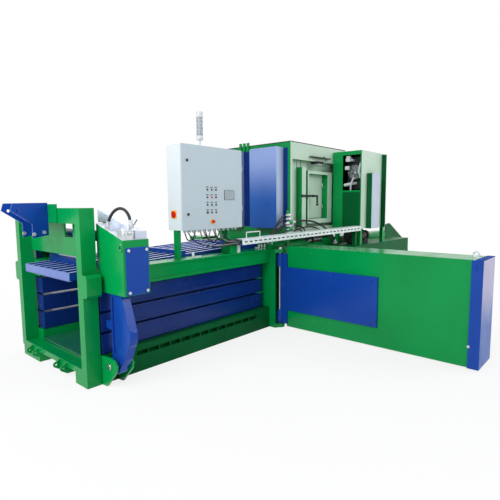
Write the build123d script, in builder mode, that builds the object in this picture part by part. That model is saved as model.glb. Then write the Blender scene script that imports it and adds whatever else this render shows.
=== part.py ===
from build123d import *
import os
from math import cos, pi, radians, sin

os.makedirs("parts", exist_ok=True)

# Horizontal channel baler with a swing-out needle box.
# X runs along the channel toward the ram, Y to the far side, Z up, in millimetres.
# Places along the machine are stations, measured from the front face of the discharge portal.
# Places across it are offsets from the centreline; near is the side with the control cabinet.

# Driving dimensions of the whole machine
portal_x = -5500.0  # X of the front face of the discharge portal
frame_length = 7930.0
half_frame = 790.0  # centreline to the outer faces of the frame
half_channel = 560.0  # centreline to the inner faces of the channel
near = -1
far = 1

# Heights
rail_top = 180.0
floor_top = 200.0
ledge_top = 295.0
beam_bottom = 945.0
beam_top = 1140.0
press_rail_top = 1200.0
hopper_bottom = 1330.0
hopper_top = 2700.0

# Stations
portal_depth = 150.0
channel_end = 2780.0
press_start = 2912.0
hopper_start = 3280.0
hopper_end = 4900.0
press_end = 6650.0

# Floor anchors
anchor_span_x = 3800.0
anchor_offset = 880.0
anchor_hole_radius = 14.0

# Discharge portal
portal_height = 1750.0
post_width = 100.0
crossbeam_bottom = 1600.0
foot_height = 118.0
sill_top = 176.0
front_plate_bottom = 1256.0
front_plate_thickness = 20.0
ear_hole_station = -40.0
ear_hole_height = 110.0
ear_hole_radius = 12.5
ear_half_gap = 70.0
ear_thickness = 20.0
ear_offsets = (-280.0, 425.0)
backing_thickness = 12.0

# Stay bracket
stay_offsets = (-150.0, 100.0)
stay_thickness = 20.0
stay_hole_station = -297.0
stay_hole_height = 1725.0
stay_hole_radius = 16.0

# Side bands and their hinge pins
band_levels = ((303.0, 500.0), (525.0, 710.0), (735.0, 925.0))
band_thickness = 150.0
band_start = 170.0
band_block_end = 350.0
wall_pin_station = 2690.0
wall_pin_radius = 30.0
running_gap = 0.05
seat_gap = 0.3

# Clamp levers, their pins and the clamp cylinder
lever_start = 220.0
lever_end = 310.0
lever_pin_offset = 935.0
lever_pin_height = 215.0
lever_pin_radius = 30.0
eye_offset = 820.0
eye_rise = 330.0  # lever eyes over the top beams
eye_height = beam_top + eye_rise
eye_radius = 80.0
eye_pin_radius = 25.0
fork_half_gap = 20.0
clamp_tongue_half = 18.0
clamp_barrel_radius = 55.0
clamp_bore_radius = 45.0
clamp_rod_radius = 30.0

# Housings over the lever tops
housing_start = 190.0
housing_end = 470.0
housing_outer = 1200.0
housing_inner = 740.0
housing_bottom = 935.0
housing_peak = beam_top + 460
housing_fall = 144.0
housing_shoulder = housing_peak - housing_fall
sheet = 10.0

# Needle box
needle_pin_station = 2909.0
needle_pin_offset = 890.0
needle_pin_radius = 27.5
needle_box_inner = 1010.0
needle_box_outer = 3525.0
needle_box_end = 3370.0
needle_box_bottom = 20.0
needle_box_top = 1180.0
needle_station = 3141.0
needle_levels = (310.0, 480.0, 650.0, 820.0)
needle_width = 32.0
needle_height = 16.0
carriage_offset = 3240.0

# Ram and main cylinder
ram_front = 5050.0
ram_depth = 400.0
ram_half_width = 550.0
ram_bottom = 205.0
ram_top = 975.0
ram_skirt_end = 6900.0
cylinder_height = 590.0
main_barrel_radius = 150.0
main_bore_radius = 125.0
main_rod_radius = 80.0
main_barrel_start = 5590.0
main_barrel_end = 7780.0
main_cap = 50.0
piston_start = 7645.0
piston_length = 80.0

# Top flap of longitudinal bars
flap_half_width = 540.0
flap_bar_count = 8
flap_bar_width = 32.0
flap_pin_station = 2846.0
flap_pin_height = 1165.0
flap_pin_radius = 20.0

# Hopper
hopper_half = 800.0
hopper_wall = 12.0
hopper_inner_half = 684.0
rim_depth = 244.0
hopper_shoulder = hopper_top - rim_depth
hopper_panel_start = 3109.0
door_start = 3770.0
door_end = 4320.0
door_bottom = 1534.0
door_top = 2248.0
door_play = 5.0
door_pin_radius = 6.0
knuckle_radius = 9.5
latch_station = 3860.0
latch_rise = 364.0
latch_height = door_bottom + latch_rise

# Power pack
pack_start = 4486.0
pack_end = 5430.0
pack_inner = 805.0
pack_outer = 1331.0
pack_bottom = 1360.0
pack_top = 2630.0
tank_start = 4330.0
tank_end = 6500.0
tank_outer = 1340.0
tank_top = 1090.0

# Control cabinet
cabinet_start = 1184.0
cabinet_end = 2165.0
cabinet_front = 820.0
cabinet_back = 580.0
cabinet_bottom = 1480.0
cabinet_top = 2455.0
cabinet_door_thickness = 20.0
cabinet_hinge_station = 2175.0
cabinet_hinge_offset = 832.0
button_stations = (1563.0, 1633.0, 1703.0)
button_heights = (1950.0, 1860.0, 1770.0, 1680.0)
button_radius = 11.0
stop_station = 1642.0
stop_height = 1570.0
stack_station = 1580.0
stack_offset = 710.0
stack_radius = 40.0

# Cable tray
tray_start = (2150.0, 800.0, 1320.0)
tray_finish = (4460.0, 1290.0, 1410.0)
tray_width = 150.0
tray_height = 75.0
tray_sheet = 3.0

# Hydraulic hoses
hose_diameter = 28.0


def x_at(station):
    return portal_x + station


def block(s, y, z, mode=Mode.ADD):
    """A plain block between pairs of stations, offsets and heights."""
    centre = (x_at((s[0] + s[1]) / 2), (y[0] + y[1]) / 2, (z[0] + z[1]) / 2)
    with Locations(centre):
        Box(abs(s[1] - s[0]), abs(y[1] - y[0]), abs(z[1] - z[0]), mode=mode)


def round_bar(axis, centre, radius, length, mode=Mode.ADD):
    """A cylinder about its centre (station, offset, height), along X, Y or Z."""
    turn = {"X": (0, 90, 0), "Y": (90, 0, 0), "Z": (0, 0, 0)}[axis]
    with Locations(Location((x_at(centre[0]), centre[1], centre[2]), turn)):
        Cylinder(radius, length, mode=mode)


def side_plate(points, y, mode=Mode.ADD):
    """A plate whose outline lies in station and height, between two offsets."""
    with BuildSketch(Plane.XZ.offset(-y[0])) as outline:
        with BuildLine():
            Polyline(*[(x_at(s), z) for s, z in points], close=True)
        make_face()
    extrude(outline.sketch, amount=y[0] - y[1], mode=mode)


def cross_plate(points, side, s, mode=Mode.ADD):
    """A plate whose outline lies in distance from the centreline and height, between two stations."""
    with BuildSketch(Plane.YZ.offset(x_at(s[0]))) as outline:
        with BuildLine():
            Polyline(*[(side * d, z) for d, z in points], close=True)
        make_face()
    extrude(outline.sketch, amount=s[1] - s[0], mode=mode)


def plan_plate(points, z, mode=Mode.ADD):
    """A plate whose outline lies in station and offset, between two heights."""
    with BuildSketch(Plane.XY.offset(z[0])) as outline:
        with BuildLine():
            Polyline(*[(x_at(s), y) for s, y in points], close=True)
        make_face()
    extrude(outline.sketch, amount=z[1] - z[0], mode=mode)


def hex_head(axis, centre, radius=16.0, height=12.0):
    """A hexagon bolt head standing on a face, growing along the signed axis from its centre."""
    sign = -1 if axis[0] == "-" else 1
    direction = {"X": (sign, 0, 0), "Y": (0, sign, 0), "Z": (0, 0, sign)}[axis[-1]]
    seat = Plane(origin=(x_at(centre[0]), centre[1], centre[2]), z_dir=direction)
    with BuildSketch(seat) as outline:
        RegularPolygon(radius, 6)
    extrude(outline.sketch, amount=height)


def route_radii(points):
    """The largest tangent arcs that the runs of a hose allow, one for each corner."""
    runs = [Vector(*b) - Vector(*a) for a, b in zip(points, points[1:])]
    radii = []
    for first, second in zip(runs, runs[1:]):
        half_turn = radians(first.get_angle(second)) / 2
        radii.append(0.45 * min(first.length, second.length) * cos(half_turn) / sin(half_turn))
    return radii


def housing_roof(offset):
    """Height of the sloping roof of a housing at a distance from the centreline."""
    share = (offset - housing_inner) / (housing_outer - housing_inner)
    return housing_peak - housing_fall * share


def save(piece, label):
    piece.part.label = label
    export_step(piece.part, f"parts/{label}.step")


# Base frame: two side beams with a slotted ledge, cross members below the floor
ledge_window_start = 560.0
ledge_window_pitch = 150.0
ledge_window_length = 138.0
ledge_window_count = 13
ledge_window_depth = 60.0
ledge_window_z = (rail_top, 230.0)
cross_member_stations = (300.0, 1400.0, 2650.0, 3900.0, 5200.0, 6500.0, 7790.0)
cross_member_half = 60.0

with BuildPart() as base_frame:
    for side in (near, far):
        block((portal_depth, press_start), (side * half_channel, side * half_frame), (0, ledge_top))
        block((press_start, frame_length), (side * half_channel, side * half_frame), (0, rail_top))
        for index in range(ledge_window_count):
            first = ledge_window_start + index * ledge_window_pitch
            block(
                (first, first + ledge_window_length),
                (side * (half_frame - ledge_window_depth), side * half_frame),
                ledge_window_z,
                Mode.SUBTRACT,
            )
        round_bar(
            "Z",
            (wall_pin_station, side * (half_channel + band_thickness / 2), ledge_top - 50),
            wall_pin_radius + seat_gap,
            120,
            Mode.SUBTRACT,
        )
    for station in cross_member_stations:
        block(
            (station - cross_member_half, station + cross_member_half),
            (-half_channel, half_channel),
            (40, rail_top),
        )
save(base_frame, "base_frame")

# Channel floor
with BuildPart() as channel_floor:
    block((portal_depth, press_end), (-half_channel, half_channel), (rail_top, floor_top))
save(channel_floor, "channel_floor")

# Floor anchor plates
anchor_size = (200.0, 170.0, 20.0)
anchor_stations = (-portal_x - anchor_span_x / 2, -portal_x + anchor_span_x / 2)

with BuildPart() as anchor_plates:
    for station in anchor_stations:
        for side in (near, far):
            block(
                (station - anchor_size[0] / 2, station + anchor_size[0] / 2),
                (side * half_frame, side * (half_frame + anchor_size[1])),
                (0, anchor_size[2]),
            )
            round_bar(
                "Z",
                (station, side * anchor_offset, anchor_size[2] / 2),
                anchor_hole_radius,
                anchor_size[2] * 2,
                Mode.SUBTRACT,
            )
save(anchor_plates, "anchor_plates")

# Discharge portal: posts, crossbeam, sill, feet, doublers, ramp ears
post_inner = half_frame - post_width
collar_outline = (
    (half_frame, 900.0),
    (half_frame + 55, 900.0),
    (half_frame + 80, 925.0),
    (half_frame + 80, 1095.0),
    (half_frame + 55, 1120.0),
    (half_frame, 1120.0),
)
ear_outline = (
    (0.0, sill_top - 8),
    (ear_hole_station, ear_hole_height + 30),
    (ear_hole_station - 10, ear_hole_height - 28),
    (0.0, foot_height - 68),
)

with BuildPart() as discharge_portal:
    for side in (near, far):
        block((0, portal_depth), (side * post_inner, side * half_frame), (foot_height, portal_height))
        cross_plate(collar_outline, side, (0, portal_depth))
    block((0, portal_depth), (-half_frame, half_frame), (crossbeam_bottom, portal_height))
    block((0, portal_depth), (-post_inner, post_inner), (foot_height, sill_top))
    block((0, portal_depth), (-half_frame, -550), (0, foot_height))
    block((0, portal_depth), (318, 760), (0, foot_height))
    block((-backing_thickness, 0), (-340, 210), (crossbeam_bottom + 5, portal_height + 40))
    for offset in ear_offsets:
        block(
            (0, 120),
            (offset - ear_half_gap - ear_thickness, offset + ear_half_gap + ear_thickness),
            (foot_height - 68, foot_height),
        )
        for direction in (-1, 1):
            inner = offset + direction * ear_half_gap
            outer = inner + direction * ear_thickness
            side_plate(ear_outline, (inner, outer))
            middle = (inner + outer) / 2
            centre = (ear_hole_station, middle, ear_hole_height)
            round_bar("Y", centre, 30, ear_thickness)
            round_bar("Y", centre, ear_hole_radius, ear_thickness * 2, Mode.SUBTRACT)
save(discharge_portal, "discharge_portal")

# Front plate above the bale opening, notched for the clamp cylinder
with BuildPart() as portal_front_plate:
    block(
        (portal_depth - front_plate_thickness, portal_depth),
        (-post_inner, post_inner),
        (front_plate_bottom, crossbeam_bottom),
    )
    block((portal_depth - 40, portal_depth + 20), (-370, -190), (1450, crossbeam_bottom), Mode.SUBTRACT)
save(portal_front_plate, "portal_front_plate")

# Top beams: outward-facing channels along both sides
flange = 25.0
web_recess = 18.0

with BuildPart() as top_beams:
    for side in (near, far):
        beam_y = (side * half_channel, side * half_frame)
        block((portal_depth, channel_end), beam_y, (beam_bottom, beam_top))
        block(
            (portal_depth + 330, channel_end - 40),
            (side * (half_frame - web_recess), side * half_frame),
            (beam_bottom + flange, beam_top - flange),
            Mode.SUBTRACT,
        )
        round_bar(
            "Z",
            (wall_pin_station, side * (half_channel + band_thickness / 2), (beam_bottom + beam_top) / 2),
            wall_pin_radius + seat_gap,
            beam_top - beam_bottom + 20,
            Mode.SUBTRACT,
        )
save(top_beams, "top_beams")

# Hinge posts behind the bands, with the knuckle plates and the needle box bracket
wall_pin_offset = half_channel + band_thickness / 2
knuckle_plate_levels = ((505.0, 520.0), (715.0, 730.0))
bracket_station = 2788.0
bracket_thickness = 20.0
bracket_knuckles = ((0.0, 50.0), (1085.0, 1135.0))
bracket_radius = 70.0

with BuildPart() as hinge_posts:
    for side in (near, far):
        post_wall = (side * half_channel, side * half_frame)
        block((channel_end, press_start), post_wall, (ledge_top, press_rail_top))
        for level in knuckle_plate_levels:
            block(
                (wall_pin_station, channel_end),
                (side * half_channel, side * (half_channel + band_thickness)),
                level,
            )
            middle = (level[0] + level[1]) / 2
            round_bar(
                "Z",
                (wall_pin_station, side * wall_pin_offset, middle),
                band_thickness / 2,
                level[1] - level[0],
            )
        for level in knuckle_plate_levels:
            round_bar(
                "Z",
                (wall_pin_station, side * wall_pin_offset, (level[0] + level[1]) / 2),
                wall_pin_radius + seat_gap,
                60,
                Mode.SUBTRACT,
            )
        round_bar(
            "Y",
            (flap_pin_station, side * (half_channel + 40), flap_pin_height),
            flap_pin_radius + running_gap,
            80,
            Mode.SUBTRACT,
        )
    block(
        (bracket_station, bracket_station + bracket_thickness),
        (near * half_frame, near * needle_pin_offset),
        (0, bracket_knuckles[1][1]),
    )
    for level in bracket_knuckles:
        plan_plate(
            (
                (bracket_station, near * half_frame),
                (bracket_station, near * needle_pin_offset),
                (needle_pin_station, near * (needle_pin_offset + bracket_radius)),
                (needle_pin_station, near * half_frame),
            ),
            level,
        )
        centre = (needle_pin_station, near * needle_pin_offset, (level[0] + level[1]) / 2)
        round_bar("Z", centre, bracket_radius, level[1] - level[0])
    for level in bracket_knuckles:
        centre = (needle_pin_station, near * needle_pin_offset, (level[0] + level[1]) / 2)
        round_bar("Z", centre, needle_pin_radius + seat_gap, 60, Mode.SUBTRACT)
    round_bar("Z", (channel_end + 25, near * 738, press_rail_top + 8), 20, 16)
save(hinge_posts, "hinge_posts")

# Fixed steel pins: wall pins, lever pins, needle box pin
wall_pin_z = (ledge_top - 100, beam_top + 25)
lug_stations = ((155.0, 180.0), (330.0, 355.0))
lever_pin_s = (lug_stations[0][0] - 10, lug_stations[1][1] + 10)
needle_pin_z = (8.0, 1160.0)

with BuildPart() as pivot_pins:
    for side in (near, far):
        round_bar(
            "Z",
            (wall_pin_station, side * wall_pin_offset, sum(wall_pin_z) / 2),
            wall_pin_radius,
            wall_pin_z[1] - wall_pin_z[0],
        )
        round_bar(
            "X",
            (sum(lever_pin_s) / 2, side * lever_pin_offset, lever_pin_height),
            lever_pin_radius,
            lever_pin_s[1] - lever_pin_s[0],
        )
    round_bar(
        "Z",
        (needle_pin_station, near * needle_pin_offset, sum(needle_pin_z) / 2),
        needle_pin_radius,
        needle_pin_z[1] - needle_pin_z[0],
    )
save(pivot_pins, "pivot_pins")

# Lugs that carry the lever pins
lug_outline = (
    (half_frame, 0.0),
    (half_frame, ledge_top),
    (half_frame + 150, ledge_top + 12),
    (half_frame + 235, ledge_top),
    (half_frame + 275, ledge_top - 45),
    (half_frame + 262, ledge_top - 110),
    (half_frame + 86, 5.0),
)

with BuildPart() as lever_lugs:
    for side in (near, far):
        for pair in lug_stations:
            cross_plate(lug_outline, side, pair)
            round_bar(
                "X",
                (sum(pair) / 2, side * lever_pin_offset, lever_pin_height),
                lever_pin_radius + seat_gap,
                60,
                Mode.SUBTRACT,
            )
save(lever_lugs, "lever_lugs")

# Sheet housings over the lever tops, open below and toward the centre
housing_outline = (
    (half_frame, housing_bottom),
    (housing_outer, housing_bottom),
    (housing_outer, housing_shoulder),
    (housing_inner, housing_peak),
    (housing_inner, beam_top),
    (half_frame, beam_top),
)
housing_hollow = (
    (half_frame - 20, housing_bottom - 20),
    (housing_outer - sheet, housing_bottom - 20),
    (housing_outer - sheet, housing_shoulder - sheet),
    (housing_inner - 40, housing_peak - sheet + 12),
    (housing_inner - 40, beam_top - 60),
    (half_frame - 20, beam_top - 60),
)
eye_plate_offset = housing_outer - 30
eye_plate_height = housing_shoulder - 71

with BuildPart() as clamp_housings:
    for side in (near, far):
        cross_plate(housing_outline, side, (housing_start, housing_end))
        cross_plate(housing_hollow, side, (housing_start + sheet, housing_end - sheet), Mode.SUBTRACT)
        round_bar(
            "X",
            (housing_start - 6, side * eye_plate_offset, eye_plate_height),
            34,
            12,
        )
        round_bar(
            "X",
            (housing_start, side * eye_plate_offset, eye_plate_height),
            17,
            60,
            Mode.SUBTRACT,
        )
save(clamp_housings, "clamp_housings")

# Bolted covers on the outer ends of the housings
cover_s = (215.0, 460.0)
cover_z = (housing_bottom + 5, housing_shoulder - 71)
cover_thickness = 8.0

with BuildPart() as housing_covers:
    for side in (near, far):
        block(cover_s, (side * housing_outer, side * (housing_outer + cover_thickness)), cover_z)
save(housing_covers, "housing_covers")

# Hexagon bolts of the covers and of the stay bracket
cover_bolt_inset = 26.0

with BuildPart() as frame_bolts:
    for side, axis in ((near, "-Y"), (far, "Y")):
        for station in (cover_s[0] + cover_bolt_inset, cover_s[1] - cover_bolt_inset):
            for height in (cover_z[0] + cover_bolt_inset, cover_z[1] - cover_bolt_inset):
                hex_head(axis, (station, side * (housing_outer + cover_thickness), height))
    for station, height in ((-160, 1490), (-60, 1505)):
        for offset in stay_offsets:
            hex_head("-Y", (station, offset, height), 20, 16)
save(frame_bolts, "frame_bolts")

# Pale sheet hood above the near housing
hood_s = (330.0, 460.0)
hood_offsets = (520.0, 1190.0)
hood_seat = 0.1
hood_outline = (
    (hood_offsets[0], housing_peak + 2),
    (hood_offsets[0], housing_peak + 137),
    (hood_offsets[1], housing_roof(hood_offsets[1]) + 72),
    (hood_offsets[1], housing_roof(hood_offsets[1]) + hood_seat),
    (housing_inner, housing_peak + hood_seat),
)

with BuildPart() as cylinder_guard:
    cross_plate(hood_outline, near, hood_s)
save(cylinder_guard, "cylinder_guard")

# Valve block with its ports on the outer end of the near housing
valve_s = (200.0, 320.0)
valve_offsets = (1085.0, 1195.0)
valve_seat = 0.2
valve_top = housing_roof(valve_offsets[0]) + 53
valve_rounding = 14.0
port_radius = 17.0
port_height = 16.0
side_port_radius = 13.0
side_port_length = 14.0
valve_outline = (
    (valve_offsets[0], housing_roof(valve_offsets[0]) + valve_seat),
    (valve_offsets[0], valve_top),
    (valve_offsets[1], valve_top),
    (valve_offsets[1], housing_roof(valve_offsets[1]) + valve_seat),
)
valve_middle = sum(valve_offsets) / 2

with BuildPart() as valve_block:
    cross_plate(valve_outline, near, valve_s)
    fillet(valve_block.edges().filter_by(Axis.Z), valve_rounding)
    for station in (valve_s[0] + 30, valve_s[1] - 30):
        centre = (station, near * valve_middle, valve_top + port_height / 2)
        round_bar("Z", centre, port_radius, port_height)
    for station in (valve_s[0] + 25, valve_s[0] + 60, valve_s[1] - 25):
        centre = (station, near * (valve_offsets[1] + side_port_length / 2), valve_top - 27)
        round_bar("Y", centre, side_port_radius, side_port_length)
save(valve_block, "valve_block")

# Stay bracket: two plates in front of the crossbeam with one pin hole across both
stay_outline = (
    (-364.0, 1726.0),
    (-341.0, 1800.0),
    (-backing_thickness, 1805.0),
    (-backing_thickness, 1475.0),
    (-170.0, 1450.0),
    (-170.0, 1593.0),
)

with BuildPart() as stay_bracket:
    for offset in stay_offsets:
        side_plate(stay_outline, (offset, offset + stay_thickness))
        round_bar(
            "Y",
            (stay_hole_station, offset + stay_thickness / 2, stay_hole_height),
            stay_hole_radius,
            stay_thickness * 2,
            Mode.SUBTRACT,
        )
save(stay_bracket, "stay_bracket")

# Press frame: side walls, ribs, rails, roof and feed chute
wall_plate = 20.0
rib_width = 50.0
rib_stations = (2937.0, 3330.0, 3900.0, 4400.0, 4950.0, 5800.0, 6600.0)
needle_window_half_s = 30.0
needle_window_half_z = 26.0
rail_bottom = 1000.0
rail_rounding = 40.0
roof_thickness = 30.0
chute_plate = 10.0

with BuildPart() as press_frame:
    for side in (near, far):
        rail_y = (side * (half_channel + wall_plate), side * half_frame)
        block((press_start, press_end), rail_y, (rail_bottom, press_rail_top))
    outer_top = press_frame.edges().filter_by(Axis.X).group_by(Axis.Z)[-1]
    outer_edges = [edge for edge in outer_top if abs(edge.center().Y) > half_frame - 1]
    fillet(outer_edges, rail_rounding)
    for side in (near, far):
        plate_y = (side * half_channel, side * (half_channel + wall_plate))
        block((press_start, press_end), plate_y, (rail_top, press_rail_top - 20))
        for station in rib_stations:
            block(
                (station - rib_width / 2, station + rib_width / 2),
                (side * (half_channel + wall_plate), side * half_frame),
                (rail_top, rail_bottom),
            )
        for level in needle_levels:
            block(
                (needle_station - needle_window_half_s, needle_station + needle_window_half_s),
                (side * (half_channel - 10), side * (half_channel + wall_plate + 10)),
                (level - needle_window_half_z, level + needle_window_half_z),
                Mode.SUBTRACT,
            )
        block(
            (hopper_start - 2 * chute_plate, hopper_end + chute_plate),
            (side * half_channel, side * (half_channel + chute_plate)),
            (press_rail_top - 20, hopper_bottom),
        )
        for station in (hopper_start + 30, hopper_end - 50):
            block(
                (station - 30, station + 30),
                (side * (half_frame - 120), side * (half_frame - 60)),
                (press_rail_top, hopper_bottom),
            )
    channel_y = (-half_channel, half_channel)
    block((press_start, hopper_start - 10), channel_y, (rail_bottom, rail_bottom + roof_thickness))
    block(
        (hopper_start - 2 * chute_plate, hopper_start - chute_plate),
        channel_y,
        (rail_bottom, hopper_bottom),
    )
    block((hopper_end, hopper_end + chute_plate), channel_y, (press_rail_top - 40, hopper_bottom))
    block((hopper_end, press_end), channel_y, (press_rail_top - 40, press_rail_top - 20))
save(press_frame, "press_frame")

# Fixed knife at the rear edge of the chamber roof
with BuildPart() as fixed_knife:
    block(
        (hopper_start - 10, hopper_start + 30),
        (-half_channel, half_channel),
        (ram_top + 4, rail_bottom + roof_thickness),
    )
save(fixed_knife, "fixed_knife")

# Rear frame: gusset plates and the cylinder anchor beam
gusset_outline = (
    (press_end, rail_top),
    (press_end, 1330.0),
    (6830.0, 1355.0),
    (6900.0, 1340.0),
    (7500.0, 1037.0),
    (7860.0, 850.0),
    (frame_length, 700.0),
    (frame_length, rail_top),
)
gusset_thickness = 20.0
anchor_beam_s = (main_barrel_end, frame_length)
anchor_beam_z = (380.0, 800.0)

with BuildPart() as rear_frame:
    for side in (near, far):
        side_plate(gusset_outline, (side * (half_frame - gusset_thickness), side * half_frame))
    block(anchor_beam_s, (-(half_frame - gusset_thickness), half_frame - gusset_thickness), anchor_beam_z)
    for height in (rail_top + 10, 1100.0):
        block(
            (press_end + 60, press_end + 120),
            (-(half_frame - gusset_thickness), half_frame - gusset_thickness),
            (height, height + 60),
        )
save(rear_frame, "rear_frame")

# Main cylinder: hollow barrel with an open front gland and a closed rear cap
barrel_length = main_barrel_end - main_barrel_start
saddle_s = (7300.0, 7380.0)

with BuildPart() as main_cylinder:
    barrel_middle = (main_barrel_start + main_barrel_end) / 2
    round_bar("X", (barrel_middle, 0, cylinder_height), main_barrel_radius, barrel_length)
    for station in (main_barrel_start + 30, main_barrel_end - 30):
        round_bar("X", (station, 0, cylinder_height), main_barrel_radius + 20, 60)
    block(saddle_s, (-130, 130), (rail_top, cylinder_height))
    round_bar(
        "X",
        (barrel_middle, 0, cylinder_height),
        main_bore_radius,
        barrel_length - 2 * main_cap,
        Mode.SUBTRACT,
    )
    round_bar(
        "X",
        (main_barrel_start, 0, cylinder_height),
        main_rod_radius + running_gap,
        4 * main_cap,
        Mode.SUBTRACT,
    )
save(main_cylinder, "main_cylinder")

# Ram: slotted platen box, top skirt, rod and piston
ram_slot_depth = 260.0
ram_slot_half = 22.0
ram_plate = 25.0
ram_knife_size = (40.0, 20.0)
ram_back = ram_front + ram_depth
ram_web_back = ram_front + ram_slot_depth + 30

with BuildPart() as ram:
    block((ram_front, ram_back), (-ram_half_width, ram_half_width), (ram_bottom, ram_top))
    block((ram_back, ram_skirt_end), (-ram_half_width, ram_half_width), (ram_top - 20, ram_top))
    for level in needle_levels:
        block(
            (ram_front - 10, ram_front + ram_slot_depth),
            (-half_frame, half_frame),
            (level - ram_slot_half, level + ram_slot_half),
            Mode.SUBTRACT,
        )
    block(
        (ram_web_back, ram_back + 10),
        (-(ram_half_width - ram_plate), ram_half_width - ram_plate),
        (ram_bottom + ram_plate, ram_top - ram_plate),
        Mode.SUBTRACT,
    )
    block(
        (ram_front - 10, ram_front + ram_knife_size[0]),
        (-half_frame, half_frame),
        (ram_top - ram_knife_size[1], ram_top + 10),
        Mode.SUBTRACT,
    )
    rod_end = piston_start + piston_length
    round_bar(
        "X",
        ((ram_web_back + rod_end) / 2, 0, cylinder_height),
        main_rod_radius,
        rod_end - ram_web_back,
    )
    round_bar("X", (ram_web_back + 25, 0, cylinder_height), 130, 50)
    round_bar(
        "X",
        (piston_start + piston_length / 2, 0, cylinder_height),
        main_bore_radius - running_gap,
        piston_length,
    )
save(ram, "ram")

# Knife on the top front edge of the ram
with BuildPart() as ram_knife:
    block(
        (ram_front, ram_front + ram_knife_size[0]),
        (-ram_half_width, ram_half_width),
        (ram_top - ram_knife_size[1], ram_top),
    )
save(ram_knife, "ram_knife")

# Side bands: three box girders to a side, each with a thick front block and a hinge eye
band_relief = 14.0
band_flange = 22.0

for side, label in ((near, "near_bands"), (far, "far_bands")):
    with BuildPart() as bands:
        for low, high in band_levels:
            middle = (low + high) / 2
            outer = half_channel + band_thickness
            block((band_start, wall_pin_station), (side * half_channel, side * outer), (low, high))
            block((band_start, band_block_end), (side * half_channel, side * half_frame), (low, high))
            round_bar(
                "Z",
                (wall_pin_station, side * wall_pin_offset, middle),
                band_thickness / 2,
                high - low,
            )
            block(
                (band_block_end + 60, wall_pin_station - 190),
                (side * (outer - band_relief), side * outer),
                (low + band_flange, high - band_flange),
                Mode.SUBTRACT,
            )
            round_bar(
                "Z",
                (wall_pin_station, side * wall_pin_offset, middle),
                wall_pin_radius + running_gap,
                high - low + 20,
                Mode.SUBTRACT,
            )
    save(bands, label)

# Clamp levers: crescent rim, recessed web, forked top with a cross pin
lever_middle = (lever_start + lever_end) / 2
web_half = 20.0
hub_radius = 90.0


def lever_outline(side, points, arc):
    """The closed outline of a lever: an arc for its belly, then straight runs."""
    with BuildSketch(Plane.YZ.offset(x_at(lever_start))) as outline:
        with BuildLine():
            bulge = [(side * d, z) for d, z in arc]
            ThreePointArc(*bulge)
            Polyline(bulge[-1], *[(side * d, z) for d, z in points], bulge[0])
        make_face()
    return outline.sketch


belly = ((1175.0, 437.0), (1214.0, 525.0), (1203.0, 605.0))
lever_run = (
    (1092.0, 926.0),
    (1050.0, 1120.0),
    (890.0, 1500.0),
    (eye_offset - 20, eye_height + 70),
    (eye_offset - 70, eye_height - 30),
    (890.0, beam_top + 20),
    (890.0, 290.0),
    (lever_pin_offset - 60, 160.0),
    (lever_pin_offset + 60, 160.0),
    (1110.0, 300.0),
)
rim_arc = ((1012.0, 393.0), (1090.0, 605.0), (1027.0, 816.0))
rim_run = (
    (926.0, 905.0),
    (912.0, 890.0),
    (912.0, 330.0),
    (975.0, 330.0),
)

for side, label in ((near, "near_lever"), (far, "far_lever")):
    with BuildPart() as lever:
        extrude(lever_outline(side, lever_run, belly), amount=lever_end - lever_start)
        round_bar("X", (lever_middle, side * eye_offset, eye_height), eye_radius, lever_end - lever_start)
        round_bar(
            "X",
            (lever_middle, side * lever_pin_offset, lever_pin_height),
            hub_radius,
            lever_end - lever_start,
        )
        block((lever_start, lever_end), (side * (half_frame + 4), side * 900), (565, 645))
        pocket = lever_outline(side, rim_run, rim_arc)
        extrude(pocket, amount=(lever_end - lever_start) / 2 - web_half, mode=Mode.SUBTRACT)
        back_pocket = Pos(lever_end - lever_start, 0, 0) * pocket
        extrude(back_pocket, amount=-((lever_end - lever_start) / 2 - web_half), mode=Mode.SUBTRACT)
        block(
            (lever_middle - fork_half_gap, lever_middle + fork_half_gap),
            (side * (housing_inner - 80), side * 1000),
            (eye_height - 110, eye_height + 120),
            Mode.SUBTRACT,
        )
        round_bar(
            "X",
            (lever_middle, side * eye_offset, eye_height),
            eye_pin_radius,
            lever_end - lever_start,
        )
        round_bar(
            "X",
            (lever_middle, side * lever_pin_offset, lever_pin_height),
            lever_pin_radius + running_gap,
            200,
            Mode.SUBTRACT,
        )
    save(lever, label)

# Clamp cylinder across the channel and its rod
clamp_barrel_y = (-(eye_offset - 86), 250.0)
clamp_cap = 35.0
clamp_piston_length = 40.0
clamp_piston_y = -60.0
tongue_radius = 50.0
rod_eye_play = 4.0

with BuildPart() as clamp_cylinder:
    barrel_length = clamp_barrel_y[1] - clamp_barrel_y[0]
    barrel_centre = sum(clamp_barrel_y) / 2
    round_bar("Y", (lever_middle, barrel_centre, eye_height), clamp_barrel_radius, barrel_length)
    block(
        (lever_middle - clamp_tongue_half, lever_middle + clamp_tongue_half),
        (-eye_offset, clamp_barrel_y[0]),
        (eye_height - 40, eye_height + 40),
    )
    round_bar("X", (lever_middle, -eye_offset, eye_height), tongue_radius, 2 * clamp_tongue_half)
    round_bar(
        "X",
        (lever_middle, -eye_offset, eye_height),
        eye_pin_radius + running_gap,
        4 * clamp_tongue_half,
        Mode.SUBTRACT,
    )
    round_bar(
        "Y",
        (lever_middle, barrel_centre, eye_height),
        clamp_bore_radius,
        barrel_length - 2 * clamp_cap,
        Mode.SUBTRACT,
    )
    round_bar(
        "Y",
        (lever_middle, clamp_barrel_y[1], eye_height),
        clamp_rod_radius + running_gap,
        3 * clamp_cap,
        Mode.SUBTRACT,
    )
save(clamp_cylinder, "clamp_cylinder")

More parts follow.
